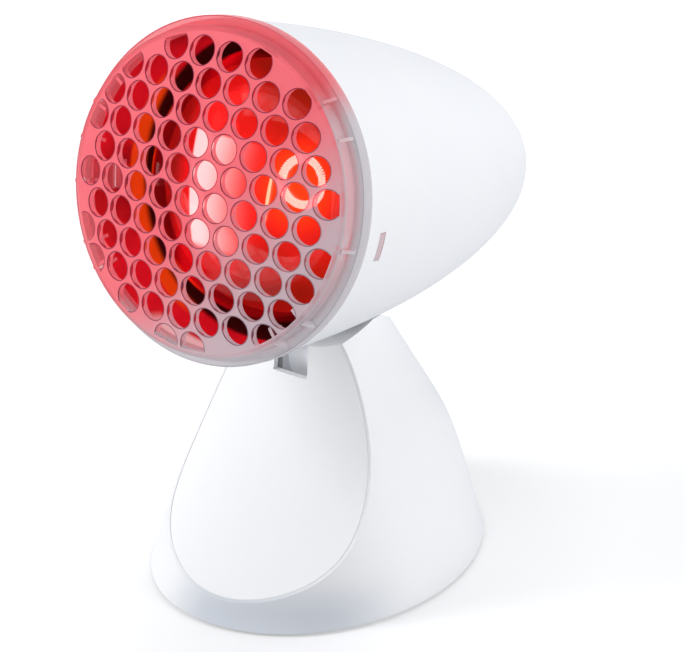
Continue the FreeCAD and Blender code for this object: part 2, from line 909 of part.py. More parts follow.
def switch_rocker():
    """At rest the top edge is in: off."""
    tip = "Sizes.rocker_half_height - Sizes.rocker_tip_in"
    foot = "Sizes.rocker_half_height - Sizes.rocker_foot_in"
    corners = [
        ("Sizes.rocker_tip_out", "-(%s)" % tip),
        ("-Sizes.rocker_dish", "0"),
        ("Sizes.rocker_tip_out", tip),
        ("-Sizes.rocker_depth", foot),
        ("-Sizes.rocker_depth", "-(%s)" % foot),
    ]
    paddle = slab("rocker_paddle", corners, "Sizes.rocker_half_width", STAND)
    pin = rod(
        "rocker_pin",
        "Sizes.rocker_pin_radius",
        "2 * (Sizes.switch_half_width - Sizes.rocker_pin_set_in)",
        "Sizes.rocker_pin_set_in - Sizes.switch_half_width",
        "-Sizes.rocker_pivot_depth",
        "0",
        "x",
    )
    lean = spot("0", "-Sizes.rocker_pivot_depth", "0", X_AXIS, "Sizes.rocker_lean")
    back = spot("0", "Sizes.rocker_pivot_depth", "0")
    keep("switch_rocker", put(fuse("switch_rocker", paddle, pin), SWITCH, lean, back))


def switch_terminals():
    tabs = []
    for side, x in (("left", "Sizes.terminal_spacing / 2"), ("right", "-Sizes.terminal_spacing / 2")):
        tab = block(
            "terminal_tab_" + side,
            (x + " - Sizes.terminal_wall / 2", x + " + Sizes.terminal_wall / 2"),
            ("-Sizes.switch_depth - Sizes.terminal_length", "-Sizes.switch_depth"),
            both_ways("Sizes.terminal_width / 2"),
        )
        tabs.append(tab)
    keep("switch_terminals", put(group("switch_terminals", tabs), SWITCH))


switch_body()
switch_rocker()
switch_terminals()


# ------------------------------------------------------------- cord inlet and terminals

CLAMP_BACK = INLET_BACK + " - Sizes.clamp_from_inlet"
BLOCK_TOP = PLATE_TOP + " + Sizes.block_height"


def cable_gland():
    place = ("0", INLET_BACK, "Sizes.inlet_height", "y")
    flange = rod("gland_flange", "Sizes.gland_flange_radius", "Sizes.gland_flange_wall", *place)
    inner = ("0", INLET_BACK + " - Sizes.gland_length", "Sizes.inlet_height", "y")
    barrel = rod("gland_barrel", "Sizes.gland_radius", "Sizes.gland_length", *inner)
    bore = rod("gland_hole", "Sizes.gland_bore", "Sizes.gland_length + Sizes.gland_flange_wall", *inner)
    keep("cable_gland", cut("cable_gland", fuse("gland_solid", flange, barrel), bore))


def cord_clamp():
    bar = block(
        "clamp_bar",
        both_ways("Sizes.clamp_post_across + Sizes.clamp_post_radius"),
        (CLAMP_BACK + " - Sizes.clamp_width / 2", CLAMP_BACK + " + Sizes.clamp_width / 2"),
        ("Sizes.inlet_height", "Sizes.inlet_height + Sizes.clamp_wall"),
    )
    groove = rod(
        "clamp_groove",
        "Sizes.clamp_wall / 2",
        "Sizes.clamp_width",
        "0",
        CLAMP_BACK + " - Sizes.clamp_width / 2",
        "Sizes.inlet_height",
        "y",
    )
    holes = []
    shanks = []
    for side, x in (("left", "Sizes.clamp_post_across"), ("right", "-Sizes.clamp_post_across")):
        bottom = "Sizes.inlet_height + Sizes.clamp_wall - Sizes.screw_length"
        top = "Sizes.inlet_height + Sizes.clamp_wall"
        hole_radius = "Sizes.screw_radius + Sizes.screw_fit"
        low = (x, CLAMP_BACK, bottom)
        high = (x, CLAMP_BACK, top)
        holes.append(rod("clamp_hole_" + side, hole_radius, "Sizes.screw_length", *low))
        shank = rod("clamp_shank_" + side, "Sizes.screw_radius", "Sizes.screw_length", *low)
        head = rod("clamp_head_" + side, "Sizes.screw_head_radius", "Sizes.screw_head_height", *high)
        shanks.append(fuse("clamp_screw_" + side, shank, head))
    keep("cord_clamp", cut("cord_clamp", bar, groove, *holes))
    keep("clamp_screws", group("clamp_screws", shanks))


def terminal_block():
    case = block(
        "terminal_block",
        both_ways("Sizes.block_length / 2"),
        ("Sizes.block_back - Sizes.block_width / 2", "Sizes.block_back + Sizes.block_width / 2"),
        (PLATE_TOP, BLOCK_TOP),
    )
    keep("terminal_block", case)
    screws = [
        rod(
            "terminal_screw_%d%d" % (across, back),
            "Sizes.block_screw_radius",
            "Sizes.block_screw_height",
            "%d * Sizes.block_length / Sizes.block_screw_division" % across,
            "Sizes.block_back + %d * Sizes.block_width / Sizes.block_screw_division" % back,
            BLOCK_TOP,
        )
        for across in (-1, 1)
        for back in (-1, 1)
    ]
    keep("terminal_screws", group("terminal_screws", screws))


cable_gland()
cord_clamp()
terminal_block()


# --------------------------------------------------------------------------- head shell

CAP_END = "Sizes.cap_start + Sizes.cap_length"
CAP_TIP = CAP_END + " + Sizes.cap_insulator_length + Sizes.cap_contact_wall"
HOLDER_CONTACT = CAP_TIP + " + Sizes.contact_gap"
HOLDER_BACK = HOLDER_CONTACT + " + Sizes.holder_contact_wall + Sizes.holder_floor"
BOSS_START = HOLDER_BACK + " + Sizes.mount_plate_wall"
MOUNT_ANGLES = (90, 210, 330)
LUG_Z = "-Sizes.pivot_below_axis"


def bell(name, inset, front):
    """The head's bell form, solid, from a flat front to its round back."""
    half_length = size("head_half_length") - inset
    radius = size("head_radius") - inset
    middle = FreeCAD.Vector(0, size("head_middle"), 0)
    oval = Part.Ellipse(
        middle + FreeCAD.Vector(0, half_length, 0),
        middle + FreeCAD.Vector(0, 0, radius),
        middle,
    )
    edge = Part.ArcOfEllipse(oval, 0, math.acos((front - middle.y) / half_length)).toShape()
    tip, shoulder = edge.Vertexes[0].Point, edge.Vertexes[-1].Point
    centre = FreeCAD.Vector(0, front, 0)
    sides = [Part.makeLine(shoulder, centre), Part.makeLine(centre, tip)]
    face = Part.Face(Part.Wire(Part.__sortEdges__([edge] + sides)))
    return shaped(name, face.revolve(FreeCAD.Vector(), FreeCAD.Vector(0, 1, 0), 360))


def around(angle):
    """Turn about the head's axis, counted from the left-hand side upwards as seen from the front."""
    return spot("0", "0", "0", Y_AXIS, "-(%s)" % angle)


def mount_rods(name, radius, start, length):
    return [
        rod(
            "%s_%d" % (name, angle),
            radius,
            length,
            "Sizes.mount_screw_radius_out",
            start,
            "0",
            "y",
            around(angle),
        )
        for angle in MOUNT_ANGLES
    ]


def slit_boxes(name, inner, outer, start, end, half_width):
    return [
        block(
            "%s_%s" % (name, side),
            (inner, outer),
            (start, end),
            both_ways(half_width),
            around(angle),
        )
        for side, angle in (("left", "-Sizes.slit_below"), ("right", "180 + Sizes.slit_below"))
    ]


def lead_channel():
    """Way for the lead from the bell down the lug to the tilt axis."""
    across = ("-Sizes.lead_aside - Sizes.lead_channel", "Sizes.lug_half_width - Sizes.lead_channel")
    front = "Sizes.pivot_behind_rim - Sizes.lead_channel"
    back = "Sizes.pivot_behind_rim + Sizes.lead_channel"
    top = LUG_Z + " + Sizes.lug_height + Sizes.lead_shaft_over_lug"
    shaft = block("lead_shaft", across, (front, back), (LUG_Z, top))
    mouth = block(
        "lead_mouth",
        across,
        (front, back + " + Sizes.lead_mouth_room"),
        (LUG_Z + " + Sizes.lug_radius", top),
    )
    return shaft, mouth


def head_shell():
    front = size("spigot_start")
    outer = bell("bell_outside", 0, front)
    inner = bell("bell_inside", size("head_wall"), front - size("cut_spare"))
    middle = bell("bell_half_wall", size("head_wall") / 2, front)
    lug_top = LUG_Z + " + Sizes.lug_height"
    lug_corners = [
        ("Sizes.pivot_behind_rim - Sizes.lug_radius", LUG_Z),
        ("Sizes.pivot_behind_rim + Sizes.lug_radius", LUG_Z),
        ("Sizes.pivot_behind_rim + Sizes.lug_reach_back", lug_top),
        ("Sizes.pivot_behind_rim - Sizes.lug_reach_front", lug_top),
    ]
    lug = slab("lug_web", lug_corners, "Sizes.lug_half_width", STAND)
    lug_place = ("-Sizes.lug_half_width", "Sizes.pivot_behind_rim", LUG_Z, "x")
    lug_eye = rod("lug_eye", "Sizes.lug_radius", "2 * Sizes.lug_half_width", *lug_place)
    tube_hole = rod("lug_tube_hole", "Sizes.tube_radius", "2 * Sizes.lug_half_width", *lug_place)
    bosses = [
        meet(boss.Name + "_in_bell", boss, middle)
        for boss in mount_rods("boss", "Sizes.mount_boss_radius", BOSS_START, "Sizes.mount_boss_length")
    ]
    step_inner = "Sizes.rim_radius - Sizes.rim_wall - Sizes.spigot_fit"
    step_place = ("0", "Sizes.spigot_start", "0", "y")
    step_outer = rod("step_outer", "2 * Sizes.rim_radius", "Sizes.spigot_length", *step_place)
    step_core = rod("step_core", step_inner, "Sizes.spigot_length", *step_place)
    step = cut("spigot_step", step_outer, step_core)
    slits = slit_boxes(
        "catch_slit",
        "Sizes.arm_outer_radius - Sizes.arm_wall",
        "Sizes.rim_radius + 2 * Sizes.cut_spare",
        "Sizes.slit_start",
        "Sizes.slit_start + Sizes.slit_length",
        "Sizes.arm_half_width",
    )
    vents = [
        block(
            "vent_%d" % k,
            both_ways("Sizes.vent_half_length"),
            (
                "Sizes.vent_first + %d * Sizes.vent_spacing" % k,
                "Sizes.vent_first + %d * Sizes.vent_spacing + Sizes.vent_width" % k,
            ),
            ("-Sizes.head_radius", "-Sizes.holder_radius"),
        )
        for k in range(VENT_COUNT)
    ]
    pitch = "Sizes.tilt_rest + %d * Sizes.detent_pitch"
    notches = [
        rod(
            "detent_notch_%d" % (k - NOTCHES.start),
            "Sizes.notch_radius",
            "2 * Sizes.lug_half_width",
            "-Sizes.lug_half_width",
            "0",
            "-Sizes.lug_radius",
            "x",
            spot("0", "Sizes.pivot_behind_rim", LUG_Z, X_AXIS, pitch % k),
        )
        for k in NOTCHES
    ]
    pilots = mount_rods(
        "boss_pilot", "Sizes.screw_radius + Sizes.screw_fit", BOSS_START, "Sizes.screw_length"
    )
    skin = cut("bell_skin", outer, inner, step)
    solid = fuse("bell_solid", skin, lug, lug_eye, *bosses)
    shell = cut("head_shell", solid, *lead_channel(), tube_hole, *notches, *slits, *vents, *pilots)
    keep("head_shell", put(shell, HEAD))


def pivot_tube():
    clip_start = RIB_OUTER + " + Sizes.bush_stand_out + Sizes.clip_ring_gap"
    half = clip_start + " + Sizes.clip_ring_wall + Sizes.tube_end_margin"
    place = ("-(%s)" % half, "Sizes.pivot_behind_rim", LUG_Z, "x")
    outer = rod("tube_outer", "Sizes.tube_radius", "2 * (%s)" % half, *place)
    bore = rod("tube_inner", "Sizes.tube_bore", "2 * (%s)" % half, *place)
    window = block(
        "tube_window",
        ("-Sizes.lead_aside - Sizes.lead_channel", "Sizes.lug_half_width - Sizes.lead_channel"),
        ("Sizes.pivot_behind_rim - Sizes.lead_channel", "Sizes.pivot_behind_rim + Sizes.lead_channel"),
        (LUG_Z, LUG_Z + " + 2 * Sizes.tube_radius"),
    )
    keep("pivot_tube", put(cut("pivot_tube", outer, bore, window), HEAD))
    rings = []
    for side, start in (("left", clip_start), ("right", "-(%s + Sizes.clip_ring_wall)" % clip_start)):
        spot_on_tube = (start, "Sizes.pivot_behind_rim", LUG_Z, "x")
        ring = rod("clip_ring_" + side, "Sizes.clip_ring_radius", "Sizes.clip_ring_wall", *spot_on_tube)
        hole = rod("clip_hole_" + side, "Sizes.tube_radius", "Sizes.clip_ring_wall", *spot_on_tube)
        rings.append(cut("pivot_clip_" + side, ring, hole))
    keep("pivot_clips", put(group("pivot_clips", rings), HEAD))


head_shell()
pivot_tube()


# ------------------------------------------------------------------------ clear screen


def hole_field():
    """Rods for the hexagonal field of holes, the rows lying level."""
    pitch = size("hole_pitch")
    row_rise = pitch * math.sqrt(3) / 2
    start = -size("dome_rise") - size("cut_spare")
    length = size("dome_rise") + size("dome_wall")
    reach = size("field_radius") - size("field_margin")
    last = math.ceil(reach / row_rise)
    rods = []
    for row in range(-last, last + 1):
        height = size("field_over_middle") + row * row_rise
        for k in range(-last, last + 1):
            across = size("field_aside") + (k + row % 2 / 2) * pitch
            if math.hypot(across, height) > reach:
                continue
            foot = FreeCAD.Vector(across, start, height)
            rods.append(Part.makeCylinder(size("hole_radius"), length, foot, FreeCAD.Vector(0, 1, 0)))
    return shaped("hole_rods", Part.makeCompound(rods))


def ring(name, outer, inner, start, length):
    place = ("0", start, "0", "y")
    full = rod(name + "_outer", outer, length, *place)
    hollow = rod(name + "_inner", inner, length, *place)
    return cut(name, full, hollow)


def ball(name, radius, centre):
    return put(bind(document.addObject("Part::Sphere", name), Radius=radius), spot(y=centre))


def grille():
    centre = "Sizes.dome_radius - Sizes.dome_rise"
    outer_ball = ball("dome_outside", "Sizes.dome_radius", centre)
    inner_ball = ball("dome_inside", "Sizes.dome_radius - Sizes.dome_wall", centre)
    ahead = ("0", "-Sizes.dome_rise - Sizes.cut_spare", "0", "y")
    disc = rod("dome_disc", "Sizes.step_radius", "Sizes.dome_rise + Sizes.cut_spare", *ahead)
    field = rod("hole_field", "Sizes.field_radius", "2 * Sizes.dome_rise", *ahead)
    holes = meet("field_holes", hole_field(), field)
    dome = cut("dome_plate", meet("dome_cap", outer_ball, disc), inner_ball, holes)
    step_inner = "Sizes.step_radius - Sizes.step_wall"
    tube = ring("step_wall", "Sizes.step_radius", step_inner, "-Sizes.dome_rise", "Sizes.dome_rise")
    wall = meet("step_band", outer_ball, tube)
    flange = ring("rim_flange", "Sizes.rim_radius", step_inner, "0", "Sizes.flange_wall")
    skirt_inner = "Sizes.rim_radius - Sizes.rim_wall"
    skirt = ring("rim_skirt", "Sizes.rim_radius", skirt_inner, "0", "Sizes.rim_depth")
    fin_blocks = [
        block(
            "fin_%d" % (angle % 360),
            ("Sizes.fin_inner_radius", "Sizes.rim_radius"),
            ("-Sizes.fin_top", "Sizes.flange_wall / 2"),
            both_ways("Sizes.fin_wall / 2"),
            around(angle),
        )
        for angle in FIN_ANGLES
    ]
    slope = horn(
        "fin_slope",
        "Sizes.fin_top_radius",
        "Sizes.rim_radius",
        "-Sizes.fin_top",
        "Sizes.fin_top + Sizes.flange_wall / 2",
    )
    fins = meet("fins", fuse("fin_set", *fin_blocks), slope)
    arms = slit_boxes(
        "catch_arm",
        "Sizes.arm_outer_radius - Sizes.arm_wall",
        "Sizes.arm_outer_radius",
        "Sizes.arm_start",
        "Sizes.arm_length",
        "Sizes.arm_half_width",
    )
    hooks = slit_boxes(
        "catch_hook",
        "Sizes.arm_outer_radius - Sizes.hook_root",
        "Sizes.hook_reach",
        "Sizes.slit_start + Sizes.hook_play",
        "Sizes.slit_start + Sizes.slit_length - Sizes.hook_play",
        "Sizes.arm_half_width - Sizes.hook_play",
    )
    keep("grille", put(fuse("grille", dome, wall, flange, skirt, fins, *arms, *hooks), HEAD))


grille()


# --------------------------------------------------------------- bulb, holder and shield


def bulb_form(name, inset):
    """Solid of the reflector bulb's outside, or of its hollow when set in."""
    neck = size("bulb_neck_radius") - inset
    neck_start = size("bulb_neck_at") - size("bulb_neck_straight")
    stations = [
        (size("bulb_front") + inset, 0),
        (size("bulb_front") + size("bulb_crown_back") + inset, size("bulb_crown_radius") - inset),
        (size("bulb_front") + size("bulb_brow_back"), size("bulb_brow_radius") - inset),
        (size("bulb_wide_at"), size("bulb_radius") - inset),
        (size("bulb_shoulder_at"), size("bulb_shoulder_radius") - inset),
        (size("bulb_waist_at"), size("bulb_waist_radius") - inset),
        (neck_start, neck),
    ]
    curve = Part.BSplineCurve()
    curve.interpolate(
        Points=[FreeCAD.Vector(0, along, out) for along, out in stations],
        InitialTangent=FreeCAD.Vector(0, 0, 1),
        FinalTangent=FreeCAD.Vector(0, 1, 0),
    )
    apex, shoulder = curve.StartPoint, curve.EndPoint
    end = FreeCAD.Vector(0, size("bulb_neck_at") + inset, neck)
    foot = FreeCAD.Vector(0, end.y, 0)
    corners = [shoulder, end, foot, apex]
    lines = [Part.makeLine(start, stop) for start, stop in zip(corners, corners[1:])]
    face = Part.Face(Part.Wire([curve.toShape()] + lines))
    return shaped(name, face.revolve(FreeCAD.Vector(), FreeCAD.Vector(0, 1, 0), 360))


def bulb():
    hollow = bulb_form("bulb_hollow", size("bulb_glass_wall"))
    glass = cut("bulb_glass", bulb_form("bulb_outside", 0), hollow)
    keep("bulb_glass", put(glass, HEAD))

    loop = document.addObject("Part::Torus", "bulb_filament")
    bind(loop, Radius1="Sizes.filament_radius", Radius2="Sizes.filament_wire")
    keep("bulb_filament", put(loop, HEAD, spot("0", "Sizes.filament_at", "0", X_AXIS, "90")))

    stem_length = "Sizes.bulb_neck_at - Sizes.stem_front"
    stem = rod("stem_glass", "Sizes.stem_radius", stem_length, "0", "Sizes.stem_front", "0", "y")
    flare = rod(
        "stem_flare",
        "Sizes.bulb_neck_radius - Sizes.bulb_glass_wall - Sizes.stem_fit",
        "Sizes.stem_flare_wall",
        "0",
        "Sizes.bulb_neck_at - Sizes.stem_flare_wall",
        "0",
        "y",
    )
    wires = [
        rod(
            "stem_wire_%d" % angle,
            "Sizes.stem_wire_radius",
            "Sizes.stem_front + Sizes.stem_wire_root - Sizes.filament_at - Sizes.filament_wire",
            "Sizes.stem_radius - 2 * Sizes.stem_wire_radius",
            "Sizes.filament_at + Sizes.filament_wire",
            "0",
            "y",
            around(angle),
        )
        for angle in STEM_WIRE_ANGLES
    ]
    spider = ring(
        "stem_spider",
        "Sizes.filament_radius + Sizes.filament_wire",
        "Sizes.stem_radius - 4 * Sizes.stem_wire_radius",
        "Sizes.filament_at + Sizes.filament_wire",
        "Sizes.filament_wire",
    )
    keep("filament_support", put(fuse("filament_support", stem, flare, spider, *wires), HEAD))

    cap_inner = "Sizes.cap_radius - Sizes.cap_wall"
    cap = ring("bulb_cap", "Sizes.cap_radius", cap_inner, "Sizes.cap_start", "Sizes.cap_length")
    keep("bulb_cap", put(cap, HEAD))
    place = ("0", CAP_END, "0", "y", HEAD)
    keep("cap_insulator", rod("cap_insulator", "Sizes.cap_radius", "Sizes.cap_insulator_length", *place))
    place = ("0", CAP_END + " + Sizes.cap_insulator_length", "0", "y", HEAD)
    keep("cap_contact", rod("cap_contact", "Sizes.cap_contact_radius", "Sizes.cap_contact_wall", *place))


def lamp_holder():
    sleeve_inner = "Sizes.cap_radius + Sizes.sleeve_gap"
    sleeve_outer = sleeve_inner + " + Sizes.sleeve_wall"
    place = ("0", "Sizes.holder_start", "0", "y")
    case = rod("holder_case", "Sizes.holder_radius", HOLDER_BACK + " - Sizes.holder_start", *place)
    depth = HOLDER_BACK + " - Sizes.holder_floor - Sizes.holder_start"
    bore = rod("holder_bore", sleeve_outer, depth, *place)
    keep("lamp_holder", put(cut("lamp_holder", case, bore), HEAD))
    sleeve_start = "Sizes.holder_start + Sizes.sleeve_set_in"
    sleeve = ring("holder_sleeve", sleeve_outer, sleeve_inner, sleeve_start, "Sizes.sleeve_length")
    keep("holder_sleeve", put(sleeve, HEAD))
    place = ("0", HOLDER_CONTACT, "0", "y", HEAD)
    contact = rod("holder_contact", "Sizes.cap_contact_radius", "Sizes.holder_contact_wall", *place)
    keep("holder_contact", contact)

    place = ("0", HOLDER_BACK, "0", "y")
    disc = rod("mount_disc", "Sizes.mount_plate_radius", "Sizes.mount_plate_wall", *place)
    hole_radius = "Sizes.screw_radius + Sizes.screw_fit"
    holes = mount_rods("mount_hole", hole_radius, HOLDER_BACK, "Sizes.mount_plate_wall")
    keep("holder_plate", put(cut("holder_plate", disc, *holes), HEAD))
    length = "Sizes.mount_plate_wall + Sizes.screw_length - Sizes.pilot_spare"
    shanks = mount_rods("mount_shank", "Sizes.screw_radius", HOLDER_BACK, length)
    heads = mount_rods(
        "mount_head",
        "Sizes.mount_head_radius",
        HOLDER_BACK + " - Sizes.screw_head_height",
        "Sizes.screw_head_height",
    )
    screws = [fuse(head.Name + "_screw", head, shank) for head, shank in zip(heads, shanks)]
    keep("holder_plate_screws", put(group("holder_plate_screws", screws), HEAD))


def heat_shield():
    """Spun cone with a flat floor that the holder's front face carries."""
    length = "Sizes.holder_start - Sizes.shield_start - Sizes.shield_wall"
    outer = horn(
        "shield_outer",
        "Sizes.shield_radius",
        "Sizes.shield_end_radius",
        "Sizes.shield_start",
        length,
    )
    inner = horn(
        "shield_inner",
        "Sizes.shield_radius - Sizes.shield_wall",
        "Sizes.shield_end_radius - Sizes.shield_wall",
        "Sizes.shield_start",
        length,
    )
    floor_ring = ring(
        "shield_floor",
        "Sizes.shield_end_radius",
        "Sizes.cap_radius + Sizes.sleeve_gap + Sizes.sleeve_wall",
        "Sizes.holder_start - Sizes.shield_wall",
        "Sizes.shield_wall",
    )
    cone = cut("shield_cone", outer, inner)
    keep("heat_shield", put(fuse("heat_shield", cone, floor_ring), HEAD))


bulb()
lamp_holder()
heat_shield()


# ------------------------------------------------------------------------------- wiring


def leads():
    """Lead from the holder down the lug and out along the tilt axis, and on to the block."""
    pivot_y = size("pivot_behind_rim")
    pivot_z = -size("pivot_below_axis")
    tube_end = (
        size("lug_half_width") + size("lug_gap") + size("rib_wall") + size("bush_stand_out")
        + size("clip_ring_gap") + size("clip_ring_wall") + size("tube_end_margin")
    )
    aside = -size("lead_aside")
    holder_bottom = -size("holder_radius")
    holder_y = size("holder_start") + size("lead_behind_holder_front")
    first_y = holder_y - size("lead_first_forward")
    head_route = [
        (0, holder_y, holder_bottom),
        (0, holder_y, holder_bottom - size("lead_drop")),
        (aside / 2, first_y, holder_bottom - size("lead_first_low")),
        (aside, pivot_y + size("lead_second_back"), pivot_z + size("lead_second_up")),
        (aside, pivot_y, pivot_z + size("lead_third_up")),
        (aside, pivot_y, pivot_z),
        (tube_end, pivot_y, pivot_z),
    ]
    keep("head_lead", put(lead_tube("head_lead", head_route, size("lead_radius")), HEAD))

    start = tube_end + size("lead_joint")
    tilt_y = size("pivot_back")
    tilt_z = size("pivot_height")
    block_y = size("block_back")
    block_x = size("block_length") / 2
    block_z = size("floor_gap") + size("plate_wall") + size("block_height") / 2
    first_y = tilt_y + size("base_lead_first_back")
    second_y = block_y - size("base_lead_second_forward")
    base_route = [
        (start, tilt_y, tilt_z),
        (start + size("base_lead_out"), tilt_y, tilt_z),
        (start + size("base_lead_first_out"), first_y, tilt_z - size("base_lead_first_down")),
        (start + size("base_lead_second_out"), second_y, tilt_z - size("base_lead_second_down")),
        (start + size("base_lead_third_out"), block_y, block_z),
        (block_x, block_y, block_z),
    ]
    keep("base_lead", lead_tube("base_lead", base_route, size("lead_radius")))

    block_top = size("floor_gap") + size("plate_wall") + size("block_height")
    lean = math.radians(size("switch_lean"))
    reach = size("switch_depth") + size("terminal_length")
    out = FreeCAD.Vector(0, math.cos(lean), math.sin(lean))
    middle = FreeCAD.Vector(0, SWITCH_BACK - size("switch_set_in"), size("switch_height"))
    tip = middle - out * reach
    straight = size("switch_lead_straight")
    approach = middle - out * (reach + straight)
    pair = []
    for side in (-1, 1):
        across = side * size("terminal_spacing") / 2
        route = [
            (across, block_y, block_top),
            (across, block_y, block_top + straight),
            (across, approach.y, approach.z),
            (across, tip.y, tip.z),
        ]
        pair.append(lead_tube("switch_lead_%d" % (side + 1), route, size("thin_lead_radius")))
    keep("switch_leads", group("switch_leads", pair))


leads()


# ------------------------------------------------------------------------------- output

document.recompute()
for thing in document.Objects:
    if "Invalid" in thing.State or "Error" in thing.State:
        raise RuntimeError("%s did not build: %s" % (thing.Name, thing.State))
for thing in sub_parts:
    if thing.Shape.isNull() or not thing.Shape.isValid():
        raise RuntimeError("%s has no valid shape" % thing.Label)
os.makedirs("parts", exist_ok=True)
for thing in sub_parts:
    thing.Shape.exportStep("parts/%s.step" % thing.Label)
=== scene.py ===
# An infrared heat therapy lamp: a round reflector head with a clear guard over a
# red bulb, on a hollow stand that it tilts on, with the switch at the back.
import math

import bpy
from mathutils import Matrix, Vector


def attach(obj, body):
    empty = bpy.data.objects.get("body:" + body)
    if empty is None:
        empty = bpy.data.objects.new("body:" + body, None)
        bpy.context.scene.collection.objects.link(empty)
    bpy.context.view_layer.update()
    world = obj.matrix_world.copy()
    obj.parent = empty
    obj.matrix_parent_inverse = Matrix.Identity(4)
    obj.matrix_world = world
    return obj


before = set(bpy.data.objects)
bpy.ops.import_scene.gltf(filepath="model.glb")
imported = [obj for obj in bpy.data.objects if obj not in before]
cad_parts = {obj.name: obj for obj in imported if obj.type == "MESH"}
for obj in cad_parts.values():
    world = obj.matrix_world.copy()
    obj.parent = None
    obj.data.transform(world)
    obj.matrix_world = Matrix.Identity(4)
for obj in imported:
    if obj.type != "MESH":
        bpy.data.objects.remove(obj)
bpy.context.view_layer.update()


# ---------------------------------------------------------------------------
# The studio: a white sweep under and behind the lamp, a tall soft light at each
# side and a weak one overhead, black cards that only gloss sees, and a long lens
# that looks down on the lamp from its left.

CAMERA_PLACE = (0.5101, -0.7207, 0.5106)
CAMERA_TILT = 64.54
CAMERA_HEADING = 34.72
FOCAL_LENGTH = 141.9
SENSOR_WIDTH = 36
NEAREST = 0.05
LIGHTS_LOOK_AT = Vector((0, 0, 0.12))
AIR_COLOUR = (0.93, 0.96, 1.0)
AIR_LIGHT = 0.38
WHITE = (1, 1, 1)
FLOOR_HALF = 4
FLOOR_COLOUR = (0.62, 0.62, 0.63)
FLOOR_ROUGHNESS = 0.6
FLOOR_GLOW = 0.37
FADE_REACH = (0.30, 1.1)
FADE_LEVELS = (1.0, 2.6)
CARD_BLACK = (0.01, 0.01, 0.012)
CARD_LOW, CARD_HIGH = 0.02, 1.9
CARD_FRONT = -1.9
CARD_LEFT, CARD_RIGHT = -1.7, 1.4
CARD_FRONT_FROM = -2.6
CARD_LEFT_BACK = 0.1
CARD_LOW_BACK = -0.35

camera = bpy.data.objects.new("camera", bpy.data.cameras.new("camera"))
bpy.context.collection.objects.link(camera)
camera.location = CAMERA_PLACE
camera.rotation_euler = (math.radians(CAMERA_TILT), 0, math.radians(CAMERA_HEADING))
camera.data.lens = FOCAL_LENGTH
camera.data.sensor_width = SENSOR_WIDTH
camera.data.sensor_fit = "HORIZONTAL"
camera.data.clip_start = NEAREST
bpy.context.scene.camera = camera
bpy.context.scene.view_settings.view_transform = "Standard"


def soft_light(name, toward, distance, width, height, power, gloss=True):
    """A soft box that stands off the lamp in a direction and looks at it."""
    light = bpy.data.lights.new(name, "AREA")
    light.shape = "RECTANGLE"
    light.size = width
    light.size_y = height
    light.energy = power
    box = bpy.data.objects.new(name, light)
    direction = Vector(toward).normalized()
    box.location = LIGHTS_LOOK_AT + direction * distance
    box.rotation_euler = direction.to_track_quat("Z", "Y").to_euler()
    box.visible_glossy = gloss
    bpy.context.collection.objects.link(box)


soft_light("light_left", (-0.72, -0.62, 0.38), distance=1.2, width=0.30, height=1.0, power=11.6,
           gloss=False)
soft_light("light_right", (0.92, 0.20, 0.20), distance=1.3, width=0.45, height=1.1, power=10.4)
soft_light("light_top", (-0.10, 0.30, 1.0), distance=1.3, width=0.8, height=0.8, power=7.0)


def calc(tree, first, operation, second):
    """One Math node, fed by sockets or by plain numbers."""
    node = tree.nodes.new("ShaderNodeMath")
    node.operation = operation
    for place, value in enumerate((first, second)):
        if isinstance(value, (int, float)):
            node.inputs[place].default_value = value
        else:
            tree.links.new(value, node.inputs[place])
    return node.outputs[0]


def ease(tree, value, start, end, low=0, high=1):
    """Low before the start, high after the end, smooth between."""
    node = tree.nodes.new("ShaderNodeMapRange")
    node.interpolation_type = "SMOOTHSTEP"
    node.inputs["From Min"].default_value = start
    node.inputs["From Max"].default_value = end
    node.inputs["To Min"].default_value = low
    node.inputs["To Max"].default_value = high
    tree.links.new(value, node.inputs["Value"])
    return node.outputs["Result"]


FLOAT, COLOUR = "NodeSocketFloat", "NodeSocketColor"


def effect(name, entries, exits):
    """An empty effect that finishes share, with what it is given and what it gives out."""
    tree = bpy.data.node_groups.new(name, "ShaderNodeTree")
    for label, kind, value in entries:
        entry = tree.interface.new_socket(label, in_out="INPUT", socket_type=kind)
        entry.default_value = value
    for label, kind in exits:
        tree.interface.new_socket(label, in_out="OUTPUT", socket_type=kind)
    given = tree.nodes.new("NodeGroupInput").outputs
    result = tree.nodes.new("NodeGroupOutput").inputs
    return tree, given, result


def background(tree, colour, strength):
    """An even light or colour from all round."""
    node = tree.nodes.new("ShaderNodeBackground")
    node.inputs["Color"].default_value = (*colour, 1)
    node.inputs["Strength"].default_value = strength
    return node.outputs[0]


world = bpy.data.worlds.new("white_room")
bpy.context.scene.world = world
world.use_nodes = True
room = world.node_tree
room.nodes.clear()
ray = room.nodes.new("ShaderNodeLightPath").outputs
looked_at = calc(room, ray["Is Camera Ray"], "MAXIMUM", ray["Is Glossy Ray"])
looked_at = calc(room, looked_at, "MAXIMUM", ray["Is Transmission Ray"])
air = room.nodes.new("ShaderNodeMixShader")
room.links.new(looked_at, air.inputs["Fac"])
room.links.new(background(room, AIR_COLOUR, AIR_LIGHT), air.inputs[1])
room.links.new(background(room, WHITE, 1), air.inputs[2])
room.links.new(air.outputs[0], room.nodes.new("ShaderNodeOutputWorld").inputs["Surface"])


